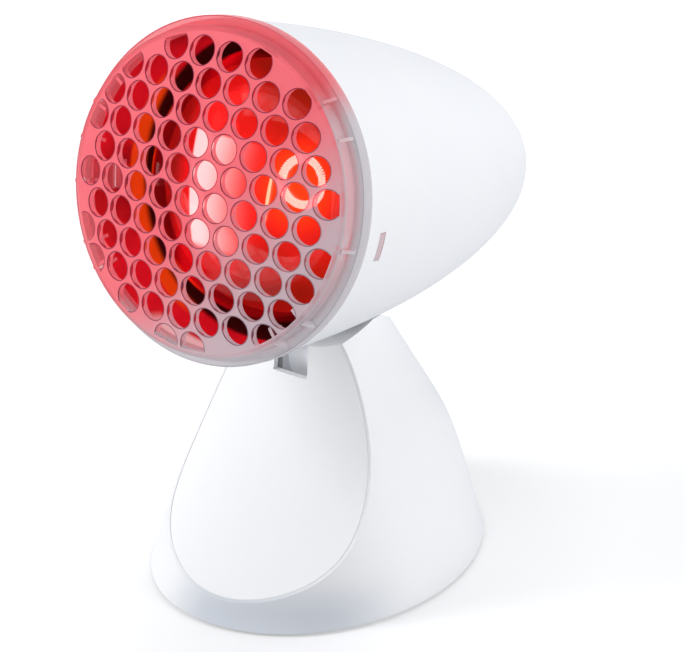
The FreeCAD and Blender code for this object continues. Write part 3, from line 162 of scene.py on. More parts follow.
def make_far_floor():
    """A glow that gains with the distance from the lamp, so that the floor ends white."""
    tree, _, result = effect("far_floor", [], [("Colour", COLOUR)])
    place = tree.nodes.new("ShaderNodeTexCoord")
    reach = tree.nodes.new("ShaderNodeVectorMath")
    reach.operation = "LENGTH"
    tree.links.new(place.outputs["Object"], reach.inputs[0])
    level = ease(tree, reach.outputs["Value"], *FADE_REACH, *FADE_LEVELS)
    colour = tree.nodes.new("ShaderNodeCombineColor")
    for channel in ("Red", "Green", "Blue"):
        tree.links.new(level, colour.inputs[channel])
    tree.links.new(colour.outputs["Color"], result["Colour"])
    return tree


def plain_sheet(name, corners, colour, roughness):
    """A flat sheet in one matt colour, with the surface that it is painted with."""
    mesh = bpy.data.meshes.new(name)
    mesh.from_pydata(corners, [], [(0, 1, 2, 3)])
    sheet = bpy.data.objects.new(name, mesh)
    bpy.context.collection.objects.link(sheet)
    paper = bpy.data.materials.new(name)
    paper.use_nodes = True
    surface = paper.node_tree.nodes["Principled BSDF"]
    surface.inputs["Base Color"].default_value = (*colour, 1)
    surface.inputs["Roughness"].default_value = roughness
    sheet.data.materials.append(paper)
    return sheet, paper.node_tree, surface


floor_corners = [(-FLOOR_HALF, -FLOOR_HALF, 0), (FLOOR_HALF, -FLOOR_HALF, 0),
                 (FLOOR_HALF, FLOOR_HALF, 0), (-FLOOR_HALF, FLOOR_HALF, 0)]
floor, floor_tree, floor_surface = plain_sheet("floor", floor_corners, FLOOR_COLOUR, FLOOR_ROUGHNESS)
ray = floor_tree.nodes.new("ShaderNodeLightPath").outputs
looked_at = calc(floor_tree, ray["Is Camera Ray"], "MAXIMUM", ray["Is Glossy Ray"])
floor_glow = calc(floor_tree, looked_at, "MULTIPLY", FLOOR_GLOW)
floor_tree.links.new(floor_glow, floor_surface.inputs["Emission Strength"])
floor_fade = floor_tree.nodes.new("ShaderNodeGroup")
floor_fade.node_tree = make_far_floor()
floor_tree.links.new(floor_fade.outputs["Colour"], floor_surface.inputs["Emission Color"])


def black_card(name, corners):
    """A black card that shows only where gloss looks into it."""
    card, _, _ = plain_sheet(name, corners, CARD_BLACK, 1)
    card.visible_camera = False
    card.visible_diffuse = False
    card.visible_transmission = False
    card.visible_shadow = False


black_card("card_front", [(CARD_FRONT_FROM, CARD_FRONT, CARD_LOW), (CARD_RIGHT, CARD_FRONT, CARD_LOW),
                          (CARD_RIGHT, CARD_FRONT, CARD_HIGH), (CARD_FRONT_FROM, CARD_FRONT, CARD_HIGH)])
black_card("card_left", [(CARD_LEFT, CARD_FRONT, CARD_LOW), (CARD_LEFT, CARD_LEFT_BACK, CARD_LOW),
                         (CARD_LEFT, CARD_LEFT_BACK, CARD_HIGH), (CARD_LEFT, CARD_FRONT, CARD_HIGH)])
black_card("card_low", [(CARD_LEFT, CARD_FRONT, CARD_LOW), (CARD_RIGHT, CARD_FRONT, CARD_LOW),
                        (CARD_RIGHT, CARD_LOW_BACK, CARD_LOW), (CARD_LEFT, CARD_LOW_BACK, CARD_LOW)])


# ---------------------------------------------------------------------------
# The stand: one white moulding with a scooped front, a thin front cover let into
# the scoop, and a flat plate screwed up into its open foot.

NEUTRAL = (0.8, 0.8, 0.8, 1)
SURFACE_EXITS = [("Colour", COLOUR), ("Roughness", FLOAT), ("Height", FLOAT)]
GRAIN_SCALE, GRAIN_DETAIL = 2400, 3
GRAIN_ROUGHENS = 0.14
FLOW_SCALE, FLOW_DETAIL = 26, 2
FLOW_ROUGHENS = 0.10
FLOW_SHADE = (0.93, 0.945, 0.965)
PAINTED_FOOT_SHADE = (0.70, 0.735, 0.785)
PAINTED_FOOT_SHADE_LOW = (0.022, 0.004)
PAINTED_FOOT_SHADE_FRONT = (-0.015, -0.055)
PAINTED_FOOT_SHADE_LEFT = (-0.026, 0.002)
BUMP_DEPTH = 0.00002
PAINTED_TURNED_SHADE = (0.80, 0.815, 0.845)
TURNED_BLEND = 0.22
SATIN = 0.3


def speckle(tree, scale, detail, stretch=(1, 1, 1)):
    """Noise in the piece's own coordinates, at so many features a metre."""
    place = tree.nodes.new("ShaderNodeTexCoord")
    squeeze = tree.nodes.new("ShaderNodeMapping")
    squeeze.inputs["Scale"].default_value = stretch
    noise = tree.nodes.new("ShaderNodeTexNoise")
    noise.inputs["Detail"].default_value = detail
    if isinstance(scale, (int, float)):
        noise.inputs["Scale"].default_value = scale
    else:
        tree.links.new(scale, noise.inputs["Scale"])
    tree.links.new(place.outputs["Object"], squeeze.inputs["Vector"])
    tree.links.new(squeeze.outputs["Vector"], noise.inputs["Vector"])
    return noise.outputs["Fac"]


def shaded(tree, colour, shade, amount):
    """A colour darkened toward a shade by a mask."""
    mix = tree.nodes.new("ShaderNodeMix")
    mix.data_type = "RGBA"
    mix.blend_type = "MULTIPLY"
    tree.links.new(amount, mix.inputs["Factor"])
    tree.links.new(colour, mix.inputs["A"])
    mix.inputs["B"].default_value = (*shade, 1)
    return mix.outputs["Result"]


def all_of(tree, first, *others):
    """Where every one of several masks is on."""
    for other in others:
        first = calc(tree, first, "MULTIPLY", other)
    return first


def wandering(tree, level, noise, share):
    """A level that a noise moves up and down by a share."""
    swing = calc(tree, calc(tree, noise, "SUBTRACT", 0.5), "MULTIPLY", share)
    return calc(tree, level, "ADD", swing)


def make_moulded_skin():
    """Moulded plastic: faint flow, fine grain, and, where that is asked for, a painted shade low on the
    foot's front.
    """
    tree, given, result = effect(
        "moulded_skin",
        [("Colour", COLOUR, NEUTRAL), ("Roughness", FLOAT, 0.35), ("Grain", FLOAT, GRAIN_SCALE),
         ("Flow", FLOAT, 0.35), ("Foot", FLOAT, 0)],
        SURFACE_EXITS)
    flow = speckle(tree, FLOW_SCALE, FLOW_DETAIL)
    grain = speckle(tree, given["Grain"], GRAIN_DETAIL)
    colour = shaded(tree, given["Colour"], FLOW_SHADE, calc(tree, flow, "MULTIPLY", given["Flow"]))
    place = tree.nodes.new("ShaderNodeTexCoord")
    axes = tree.nodes.new("ShaderNodeSeparateXYZ")
    tree.links.new(place.outputs["Object"], axes.inputs["Vector"])
    # Painted shade: the skirt darkens low down at the foot's front, more toward the right.
    foot = all_of(tree, ease(tree, axes.outputs["Z"], *PAINTED_FOOT_SHADE_LOW),
                  ease(tree, axes.outputs["Y"], *PAINTED_FOOT_SHADE_FRONT),
                  ease(tree, axes.outputs["X"], *PAINTED_FOOT_SHADE_LEFT), given["Foot"])
    rough = wandering(tree, given["Roughness"], flow, FLOW_ROUGHENS)
    tree.links.new(shaded(tree, colour, PAINTED_FOOT_SHADE, foot), result["Colour"])
    tree.links.new(wandering(tree, rough, grain, GRAIN_ROUGHENS), result["Roughness"])
    tree.links.new(grain, result["Height"])
    return tree


MOULDED_SKIN = make_moulded_skin()


def surface_of(material):
    """The surface that a finish ends in."""
    return material.node_tree.nodes["Principled BSDF"]


def finish(name, effect_tree, colour, roughness, strength=0.2, **extra):
    """A finish made of one effect on a Principled surface; strength says how much its grain stands out."""
    material = bpy.data.materials.new(name)
    material.use_nodes = True
    nodes, links = material.node_tree.nodes, material.node_tree.links
    surface = surface_of(material)
    skin = nodes.new("ShaderNodeGroup")
    skin.node_tree = effect_tree
    skin.inputs["Colour"].default_value = (*colour, 1)
    skin.inputs["Roughness"].default_value = roughness
    bump = nodes.new("ShaderNodeBump")
    bump.inputs["Distance"].default_value = BUMP_DEPTH
    bump.inputs["Strength"].default_value = strength
    links.new(skin.outputs["Colour"], surface.inputs["Base Color"])
    links.new(skin.outputs["Roughness"], surface.inputs["Roughness"])
    links.new(skin.outputs["Height"], bump.inputs["Height"])
    links.new(bump.outputs["Normal"], surface.inputs["Normal"])
    for entry, value in extra.items():
        target = skin if entry in skin.inputs else surface
        target.inputs[entry.replace("_", " ")].default_value = value
    return material


def paint_shade_turned_away(material, shade, blend):
    """Painted shade: where the surface turns away from the eye, its colour is darkened toward a shade."""
    nodes, links = material.node_tree.nodes, material.node_tree.links
    surface = surface_of(material)
    turn = nodes.new("ShaderNodeLayerWeight")
    turn.inputs["Blend"].default_value = blend
    base = surface.inputs["Base Color"].links[0].from_socket
    sunk = shaded(material.node_tree, base, shade, turn.outputs["Facing"])
    links.new(sunk, surface.inputs["Base Color"])


def paint(material, *names):
    """The finish goes on the frame's own nodes."""
    for name in names:
        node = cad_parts[name]
        if node.material_slots:
            for slot in node.material_slots:
                slot.material = material
        else:
            node.data.materials.append(material)


shell_white = finish("shell_white", MOULDED_SKIN, colour=(0.90, 0.90, 0.91), roughness=0.50,
                     Specular_IOR_Level=SATIN, Foot=1)
paint_shade_turned_away(shell_white, PAINTED_TURNED_SHADE, TURNED_BLEND)
paint(shell_white, "base_shell")
# The cover's white is a little brighter than the shell's, as painted light on the front panel.
cover_white = finish("cover_white", MOULDED_SKIN, colour=(0.94, 0.94, 0.945), roughness=0.46,
                     Specular_IOR_Level=SATIN)
paint_shade_turned_away(cover_white, PAINTED_TURNED_SHADE, TURNED_BLEND)
paint(cover_white, "front_cover")
plate_grey = finish("plate_grey", MOULDED_SKIN, colour=(0.62, 0.63, 0.65), roughness=0.5, strength=0.4)
paint(plate_grey, "base_plate")


# ---------------------------------------------------------------------------
# Under the foot: a soft rubber ring that grips the table, and four steel screws
# with formed heads that hold the plate.

LINES_SCALE, LINES_DETAIL = 2600, 2
LINES_STRETCH = (1, 0.05, 1)
LINES_ROUGHEN = 0.25
STAIN_SCALE, STAIN_DETAIL = 90, 3
STAIN_SHADE = (0.78, 0.76, 0.74)

foot_rubber = finish("foot_rubber", MOULDED_SKIN, colour=(0.035, 0.035, 0.038), roughness=0.75,
                     strength=0.5)
paint(foot_rubber, "rubber_ring")


def make_worked_metal():
    """Metal with the fine lines of its working and a faint stain."""
    tree, given, result = effect(
        "worked_metal",
        [("Colour", COLOUR, NEUTRAL), ("Roughness", FLOAT, 0.3), ("Lines", FLOAT, LINES_SCALE),
         ("Stain", FLOAT, 0.4)],
        SURFACE_EXITS)
    lines = speckle(tree, given["Lines"], LINES_DETAIL, LINES_STRETCH)
    stain = calc(tree, speckle(tree, STAIN_SCALE, STAIN_DETAIL), "MULTIPLY", given["Stain"])
    tree.links.new(shaded(tree, given["Colour"], STAIN_SHADE, stain), result["Colour"])
    tree.links.new(wandering(tree, given["Roughness"], lines, LINES_ROUGHEN), result["Roughness"])
    tree.links.new(lines, result["Height"])
    return tree


WORKED_METAL = make_worked_metal()
zinc_steel = finish("zinc_steel", WORKED_METAL, colour=(0.66, 0.68, 0.71), roughness=0.32, Metallic=1.0)
paint(zinc_steel, "plate_screws")


# ---------------------------------------------------------------------------
# The pivot: two plastic bushes in the saddle, the steel tube of the head between
# them, its clips, and the leaf spring that clicks the head into its angles.

bush_nylon = finish("bush_nylon", MOULDED_SKIN, colour=(0.78, 0.77, 0.72), roughness=0.45)
paint(bush_nylon, "pivot_bushes")
tube_steel = finish("tube_steel", WORKED_METAL, colour=(0.62, 0.63, 0.65), roughness=0.26, Metallic=1.0)
paint(tube_steel, "pivot_tube", "pivot_clips")
spring_steel = finish("spring_steel", WORKED_METAL, colour=(0.42, 0.41, 0.42), roughness=0.3, Metallic=1.0)
paint(spring_steel, "detent_spring")
paint(zinc_steel, "detent_screw")


# ---------------------------------------------------------------------------
# The switch at the back: a black nylon frame snapped into the shell with a lighter
# rocker in it, and two brass tabs behind.

switch_black = finish("switch_black", MOULDED_SKIN, colour=(0.022, 0.022, 0.024), roughness=0.42,
                      strength=0.5)
paint(switch_black, "switch_body")
rocker_black = finish("rocker_black", MOULDED_SKIN, colour=(0.03, 0.03, 0.033), roughness=0.28)
paint(rocker_black, "switch_rocker")
tab_brass = finish("tab_brass", WORKED_METAL, colour=(0.72, 0.52, 0.22), roughness=0.3, Metallic=1.0)
paint(tab_brass, "switch_terminals")


# ---------------------------------------------------------------------------
# The cord inlet: a soft bush in the back wall, a nylon bar that grips the cord, and
# the block that its wires are screwed into with brass screws.

gland_rubber = finish("gland_rubber", MOULDED_SKIN, colour=(0.55, 0.56, 0.58), roughness=0.6)
paint(gland_rubber, "cable_gland")
clamp_nylon = finish("clamp_nylon", MOULDED_SKIN, colour=(0.70, 0.71, 0.72), roughness=0.5)
paint(clamp_nylon, "cord_clamp", "terminal_block")
paint(zinc_steel, "clamp_screws")
paint(tab_brass, "terminal_screws")


# ---------------------------------------------------------------------------
# The wires inside: one from the block through the pivot tube to the holder, and a
# pair to the switch, all in a pale sleeve of woven glass.

lead_sleeve = finish("lead_sleeve", MOULDED_SKIN, colour=(0.72, 0.70, 0.66), roughness=0.6, strength=0.6)
paint(lead_sleeve, "base_lead", "switch_leads", "head_lead")


# ---------------------------------------------------------------------------
# The head shell: a white barrel moulded in one with the lugs that the tube runs
# through.  Inside its mouth the bulb's red light is painted on as a glow, with an
# orange band and a pink sill, then a painted dark throat behind; a pale painted
# glow lights the neck below.

RIM_CENTRE = (-0.0588, 0.1628)
HEAD_TILT = math.radians(14.65)
BARREL_INSIDE = (-0.008, -0.012)
BARREL_BORE = (0.0572, 0.0566)
BARREL_SHADE = (0.95, 0.96, 0.975)
# The inside's own colour is painted near black, painted shade under its painted glow.
BARREL_UNLIT = (0.05, 0.004, 0.004)
PAINTED_GLOW_CLOUD = (0.35, 0.7)
PAINTED_GLOW_CLOUD_SHADE = (0.45, 0.4, 0.4)
BAND_BACK = (0.0225, 0.0245)
BAND_ACROSS = (-0.018, -0.030)
BAND_UP = (0.034, 0.024)
THROAT_BACK = (0.0290, 0.0330)
THROAT_DARK = (0.012, 0.0006, 0.0008)
SILL_UP = (-0.0485, -0.0520)
SILL_BACK = (0.0145, 0.0105)
NECK_UP = (-0.061, -0.065)
# Painted light: a pale glow on the neck under the head.
NECK_GLOW = (0.20, 0.205, 0.22)
BLACK = (0, 0, 0)


def in_head(across, back, up):
    """A place in metres from the middle of the guard's rim, along and across the head."""
    y, z = RIM_CENTRE
    return Vector((across, y + back * math.cos(HEAD_TILT) + up * math.sin(HEAD_TILT),
                   z - back * math.sin(HEAD_TILT) + up * math.cos(HEAD_TILT)))


def head_place(tree):
    """Coordinates in the head's own axes: across, back from the rim, up."""
    place = tree.nodes.new("ShaderNodeTexCoord")
    axes = tree.nodes.new("ShaderNodeMapping")
    axes.vector_type = "TEXTURE"
    axes.inputs["Location"].default_value = in_head(0, 0, 0)
    axes.inputs["Rotation"].default_value = (-HEAD_TILT, 0, 0)
    parts = tree.nodes.new("ShaderNodeSeparateXYZ")
    tree.links.new(place.outputs["Object"], axes.inputs["Vector"])
    tree.links.new(axes.outputs["Vector"], parts.inputs["Vector"])
    return parts.outputs["X"], parts.outputs["Y"], parts.outputs["Z"]


def from_axis(tree, across, up):
    """How far a place is from the head's axis."""
    squares = calc(tree, calc(tree, across, "MULTIPLY", across), "ADD", calc(tree, up, "MULTIPLY", up))
    return calc(tree, squares, "POWER", 0.5)


def blended(tree, mask, under, over):
    """One colour laid over another by a mask."""
    mix = tree.nodes.new("ShaderNodeMix")
    mix.data_type = "RGBA"
    tree.links.new(mask, mix.inputs["Factor"])
    for entry, colour in (("A", under), ("B", over)):
        if isinstance(colour, tuple):
            mix.inputs[entry].default_value = (*colour, 1)
        else:
            tree.links.new(colour, mix.inputs[entry])
    return mix.outputs["Result"]


def facing(tree, direction):
    """How far a face looks along a direction, which is plain or a socket."""
    place = tree.nodes.new("ShaderNodeTexCoord")
    along = tree.nodes.new("ShaderNodeVectorMath")
    along.operation = "DOT_PRODUCT"
    tree.links.new(place.outputs["Normal"], along.inputs[0])
    if isinstance(direction, Vector):
        along.inputs[1].default_value = direction
    else:
        tree.links.new(direction, along.inputs[1])
    return along.outputs["Value"]


def outward(tree):
    """How far a face looks away from the middle of the head's mouth, in metres."""
    place = tree.nodes.new("ShaderNodeTexCoord")
    reach = tree.nodes.new("ShaderNodeVectorMath")
    reach.operation = "SUBTRACT"
    reach.inputs[1].default_value = in_head(0, 0, 0)
    tree.links.new(place.outputs["Object"], reach.inputs[0])
    return facing(tree, reach.outputs["Vector"])


def skin_of(material):
    """The effect that a finish is made of."""
    return next(node for node in material.node_tree.nodes if node.type == "GROUP")


def glowing(name, effect_tree, glow, **values):
    """A finish whose effect also says what colour it glows."""
    material = finish(name, effect_tree, **values)
    surface = surface_of(material)
    material.node_tree.links.new(skin_of(material).outputs["Glow"], surface.inputs["Emission Color"])
    surface.inputs["Emission Strength"].default_value = glow
    return material


GLOW_EXITS = SURFACE_EXITS + [("Glow", COLOUR)]


def make_lit_barrel():
    """White plastic outside; inside, painted light: a red glow by the rim, an orange band and a pink sill,
    then a painted dark throat; and a painted pale glow on the neck below.
    """
    tree, given, result = effect(
        "lit_barrel",
        [("Colour", COLOUR, NEUTRAL), ("Roughness", FLOAT, 0.4), ("PaintedGlow", COLOUR, (0.52, 0.003, 0.010, 1)),
         ("Band", COLOUR, (0.66, 0.036, 0.002, 1)), ("Sill", COLOUR, (0.68, 0.36, 0.38, 1))],
        GLOW_EXITS)
    across, back, up = head_place(tree)
    flow = speckle(tree, FLOW_SCALE, FLOW_DETAIL)
    grain = speckle(tree, GRAIN_SCALE, GRAIN_DETAIL)
    bore = ease(tree, from_axis(tree, across, up), *BARREL_BORE)
    inside = all_of(tree, ease(tree, outward(tree), *BARREL_INSIDE), bore)
    white = shaded(tree, given["Colour"], BARREL_SHADE, flow)
    painted_glow = shaded(tree, given["PaintedGlow"], PAINTED_GLOW_CLOUD_SHADE, ease(tree, flow, *PAINTED_GLOW_CLOUD))
    band = all_of(tree, ease(tree, back, *BAND_BACK), ease(tree, across, *BAND_ACROSS),
                  ease(tree, up, *BAND_UP))
    painted_glow = blended(tree, band, painted_glow, given["Band"])
    painted_glow = blended(tree, ease(tree, back, *THROAT_BACK), painted_glow, THROAT_DARK)
    sill = all_of(tree, ease(tree, up, *SILL_UP), ease(tree, back, *SILL_BACK))
    painted_glow = blended(tree, sill, painted_glow, given["Sill"])
    neck = blended(tree, ease(tree, up, *NECK_UP), BLACK, NECK_GLOW)
    tree.links.new(blended(tree, inside, white, BARREL_UNLIT), result["Colour"])
    tree.links.new(blended(tree, inside, neck, painted_glow), result["Glow"])
    tree.links.new(wandering(tree, given["Roughness"], grain, GRAIN_ROUGHENS), result["Roughness"])
    tree.links.new(grain, result["Height"])
    return tree


head_white = glowing("head_white", make_lit_barrel(), glow=1.0, colour=(0.90, 0.90, 0.91), roughness=0.50,
                     Specular_IOR_Level=SATIN)
paint_shade_turned_away(head_white, PAINTED_TURNED_SHADE, TURNED_BLEND)
paint(head_white, "head_shell")


# ---------------------------------------------------------------------------
# The lamp holder: a ceramic body with a threaded brass sleeve, screwed with a steel
# plate to the shell's bosses, and a spun bright shield round it against the heat.

holder_ceramic = finish("holder_ceramic", MOULDED_SKIN, colour=(0.80, 0.78, 0.73), roughness=0.3,
                        Coat_Weight=0.6)
paint(holder_ceramic, "lamp_holder", "cap_insulator")
paint(tab_brass, "holder_sleeve", "holder_contact")
paint(zinc_steel, "holder_plate", "holder_plate_screws")
shield_bright = finish("shield_bright", WORKED_METAL, colour=(0.80, 0.80, 0.81), roughness=0.24,
                       Metallic=1.0)
paint(shield_bright, "heat_shield")


# ---------------------------------------------------------------------------
# The bulb's cap and stem: a rolled and threaded cap with a brass tip, and the
# clear glass stem that is melted into the neck and holds the filament's wires.

GLASS_REFRACTION = 1.5

cap_bright = finish("cap_bright", WORKED_METAL, colour=(0.74, 0.73, 0.70), roughness=0.25, Metallic=1.0)
paint(cap_bright, "bulb_cap")
paint(tab_brass, "cap_contact")
stem_glass = finish("stem_glass", MOULDED_SKIN, colour=(0.92, 0.93, 0.93), roughness=0.06, strength=0.02,
                    Transmission_Weight=1.0, IOR=GLASS_REFRACTION)
paint(stem_glass, "filament_support")


# ---------------------------------------------------------------------------
# The filament: fine tungsten wire wound in a coil, and the coil bent into a ring
# that the stem's wires carry.  It is white hot.

HOT_COLOUR = (1.0, 0.92, 0.84, 1)
HOT_LIGHT = 140
FILAMENT_RADIUS = 8
FILAMENT_BACK = 50
COIL_RADIUS = 1.15
COIL_WIRE = 0.34
COIL_TURNS = 56
WIRE_SIDES = 6
STEPS_A_TURN = 16

hot_wire = finish("hot_wire", WORKED_METAL, colour=(0.5, 0.35, 0.2), roughness=0.4)
hot_surface = surface_of(hot_wire)
hot_surface.inputs["Emission Color"].default_value = HOT_COLOUR
hot_surface.inputs["Emission Strength"].default_value = HOT_LIGHT
paint(hot_wire, "bulb_filament")


def head_skin(name, points, faces):
    """A smooth skin on the head, from points in its own axes in millimetres."""
    mesh = bpy.data.meshes.new(name)
    mesh.from_pydata([in_head(*(value / 1000 for value in point)) for point in points], [], faces)
    mesh.polygons.foreach_set("use_smooth", [True] * len(mesh.polygons))
    piece = bpy.data.objects.new(name, mesh)
    bpy.context.collection.objects.link(piece)
    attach(piece, "head")
    return piece


def row_faces(first, joins, rows, around):
    """Faces from each row in joins to the one after it, where each row is a closed round of points."""
    for row in joins:
        after = (row + 1) % rows
        for k in range(around):
            other = (k + 1) % around
            yield (first + row * around + k, first + row * around + other,
                   first + after * around + other, first + after * around + k)


def wound(name):
    """A wire wound in a coil whose middle line is a ring about the head's axis."""
    points = []
    count = COIL_TURNS * STEPS_A_TURN
    for k in range(count):
        angle = 2 * math.pi * k / count
        twist = 2 * math.pi * k / STEPS_A_TURN
        for side in range(WIRE_SIDES):
            lean = 2 * math.pi * side / WIRE_SIDES
            reach = COIL_RADIUS + COIL_WIRE * math.cos(lean)
            radius = FILAMENT_RADIUS + reach * math.cos(twist)
            lift = COIL_WIRE * math.sin(lean)
            points.append((radius * math.cos(angle) - lift * math.sin(angle),
                           FILAMENT_BACK + reach * math.sin(twist),
                           radius * math.sin(angle) + lift * math.cos(angle)))
    return head_skin(name, points, list(row_faces(0, range(count), count, WIRE_SIDES)))


coil = wound("filament_coil")
coil.data.materials.append(hot_wire)
coil.visible_diffuse = False


# ---------------------------------------------------------------------------
# The bulb's glass: a blown dome of ruby glass on a long cone.  Its light from inside
# is painted on as a deep red glow, with painted shade at its edges, the filament's
# painted orange glow and highlight streak, and a painted window reflection on its middle.

RUBY = (0.85, 0.02, 0.02)
RUBY_CLOUD = (0.4, 0.7)
RUBY_CLOUD_SCALE, RUBY_CLOUD_DETAIL = 45, 2
RUBY_CLOUD_SHADE = (0.55, 0.5, 0.5)
SIDE_ACROSS = (-0.018, -0.025)
SIDE_DARK = (0.035, 0.0004, 0.0008)
HIGH_SLANT = 0.35
HIGH_UP = (0.033, 0.043)
HIGH_DARK = (0.02, 0.0004, 0.0006)
LOW_SLANT = 0.3
LOW_DOWN = (0.025, 0.038)
LOW_DARK = (0.03, 0.0004, 0.0008)
FILAMENT_GLOW_CENTRE, FILAMENT_GLOW_REACH, FILAMENT_GLOW_SOFT = (25, 12, 7), (11, 40, 13), 0.5
PAINTED_STREAK_CENTRE, PAINTED_STREAK_REACH, PAINTED_STREAK_SOFT = (16.6, 8, 2), (0.55, 20, 8.5), 0.3
PAINTED_STREAK_COLOUR = (0.95, 0.60, 0.35)
WINDOW_SLANT = 0.10
WINDOW_LEFT = (-0.0162, -0.0150)
WINDOW_FADE = (0.016, -0.012)
WINDOW_FADE_POWER = 1.6
WINDOW_TOP = (0.0185, 0.0170)
WINDOW_BOTTOM = (-0.0235, -0.0195)
GLASS_OUTSIDE = (-0.0305, -0.0295)
GLASS_FRONT = (0.034, 0.030)


def patch(tree, places, centre, reach, soft):
    """A mask for an oval patch about a place, in millimetres."""
    total = 0
    for value, middle, half in zip(places, centre, reach):
        offset = calc(tree, calc(tree, value, "SUBTRACT", middle / 1000), "DIVIDE", half / 1000)
        total = calc(tree, total, "ADD", calc(tree, offset, "MULTIPLY", offset))
    return ease(tree, calc(tree, total, "POWER", 0.5), 1 + soft, 1 - soft)


def make_ruby_glow():
    """Red glass with its inside glow painted on: painted shade at its edges, a painted window reflection,
    and the filament's painted glow and highlight streak.
    """
    tree, given, result = effect(
        "ruby_glow",
        [("Colour", COLOUR, (*RUBY, 1)), ("Roughness", FLOAT, 0.03),
         ("PaintedGlow", COLOUR, (0.27, 0.001, 0.004, 1)), ("WindowReflection", COLOUR, (0.86, 0.60, 0.61, 1)),
         ("FilamentGlow", COLOUR, (0.50, 0.035, 0.002, 1))],
        GLOW_EXITS)
    across, back, up = places = head_place(tree)
    cloud = speckle(tree, RUBY_CLOUD_SCALE, RUBY_CLOUD_DETAIL)
    painted_glow = shaded(tree, given["PaintedGlow"], RUBY_CLOUD_SHADE, ease(tree, cloud, *RUBY_CLOUD))
    # Painted shade: the glow darkens toward the left side, the top and the bottom.
    painted_glow = blended(tree, ease(tree, across, *SIDE_ACROSS), painted_glow, SIDE_DARK)
    high = calc(tree, calc(tree, across, "MULTIPLY", HIGH_SLANT), "ADD", up)
    painted_glow = blended(tree, ease(tree, high, *HIGH_UP), painted_glow, HIGH_DARK)
    low = calc(tree, calc(tree, across, "MULTIPLY", LOW_SLANT), "SUBTRACT", up)
    painted_glow = blended(tree, ease(tree, low, *LOW_DOWN), painted_glow, LOW_DARK)
    # The filament's painted glow, a painted highlight streak and a painted window reflection.
    filament_glow = patch(tree, places, FILAMENT_GLOW_CENTRE, FILAMENT_GLOW_REACH, FILAMENT_GLOW_SOFT)
    painted_glow = blended(tree, filament_glow, painted_glow, given["FilamentGlow"])
    painted_streak = patch(tree, places, PAINTED_STREAK_CENTRE, PAINTED_STREAK_REACH, PAINTED_STREAK_SOFT)
    painted_glow = blended(tree, painted_streak, painted_glow, PAINTED_STREAK_COLOUR)
    slant = calc(tree, across, "ADD", calc(tree, up, "MULTIPLY", WINDOW_SLANT))
    fade = calc(tree, ease(tree, across, *WINDOW_FADE), "POWER", WINDOW_FADE_POWER)
    window = all_of(tree, ease(tree, slant, *WINDOW_LEFT), fade, ease(tree, up, *WINDOW_TOP),
                    ease(tree, up, *WINDOW_BOTTOM))
    painted_glow = blended(tree, window, painted_glow, given["WindowReflection"])
    outside = all_of(tree, ease(tree, outward(tree), *GLASS_OUTSIDE), ease(tree, back, *GLASS_FRONT))
    tree.links.new(given["Colour"], result["Colour"])
    tree.links.new(blended(tree, outside, BLACK, painted_glow), result["Glow"])
    tree.links.new(given["Roughness"], result["Roughness"])
    tree.links.new(cloud, result["Height"])
    return tree


ruby_glass = glowing("ruby_glass", make_ruby_glow(), glow=1.0, colour=RUBY, roughness=0.03, strength=0.01,
                     Transmission_Weight=1.0, IOR=GLASS_REFRACTION)
paint(ruby_glass, "bulb_glass")


# ---------------------------------------------------------------------------
# The silvering: aluminium steamed onto the inside of the glass cone.  Its colour is
# set dark, and the filament's light on it is painted on as a glow, pale green near
# the filament, which the ruby glass in front turns to orange.

SILVERING = [(44.3, 33), (43.9, 38), (42.2, 46), (39.7, 54), (36.3, 62), (32.2, 71),
             (27.6, 80), (22.6, 89), (18.0, 98), (14.0, 106), (10.6, 113)]
SILVERING_AROUND = 96
SILVER_CLOUD_SCALE, SILVER_CLOUD_DETAIL = 60, 3
SILVER_ROUGHENS = 0.10
NEAR_CENTRE, NEAR_REACH, NEAR_SOFT = (0, 62, 0), (34, 34, 34), 0.7


def turned(name, profile, around):
    """A skin spun about the head's axis from (radius, depth) pairs in millimetres."""
    points = []
    for radius, depth in profile:
        for k in range(around):
            angle = 2 * math.pi * k / around
            points.append((radius * math.cos(angle), depth, radius * math.sin(angle)))
    rows = len(profile)
    return head_skin(name, points, list(row_faces(0, range(rows - 1), rows, around)))


def make_silvered_bowl():
    """Silvering with a painted glow from the filament, strongest near it."""
    tree, given, result = effect(
        "silvered_bowl",
        [("Colour", COLOUR, NEUTRAL), ("Roughness", FLOAT, 0.2), ("PaintedGlow", COLOUR, (0.16, 0.05, 0.05, 1)),
         ("FilamentGlow", COLOUR, (0.34, 0.9, 0.2, 1))],
        GLOW_EXITS)
    cloud = speckle(tree, SILVER_CLOUD_SCALE, SILVER_CLOUD_DETAIL)
    near = patch(tree, head_place(tree), NEAR_CENTRE, NEAR_REACH, NEAR_SOFT)
    tree.links.new(given["Colour"], result["Colour"])
    tree.links.new(blended(tree, near, given["PaintedGlow"], given["FilamentGlow"]), result["Glow"])
    tree.links.new(wandering(tree, given["Roughness"], cloud, SILVER_ROUGHENS), result["Roughness"])
    tree.links.new(cloud, result["Height"])
    return tree


silvered = glowing("silvered", make_silvered_bowl(), glow=1.0, colour=(0.16, 0.10, 0.10), roughness=0.22,
                   strength=0.02, Metallic=1.0)
bowl = turned("bulb_silvering", SILVERING, SILVERING_AROUND)
bowl.data.materials.append(silvered)


# ---------------------------------------------------------------------------
# The guard: one clear moulding with round holes in rows, short fins at its edge,
# and snap arms that reach into the slits of the head.

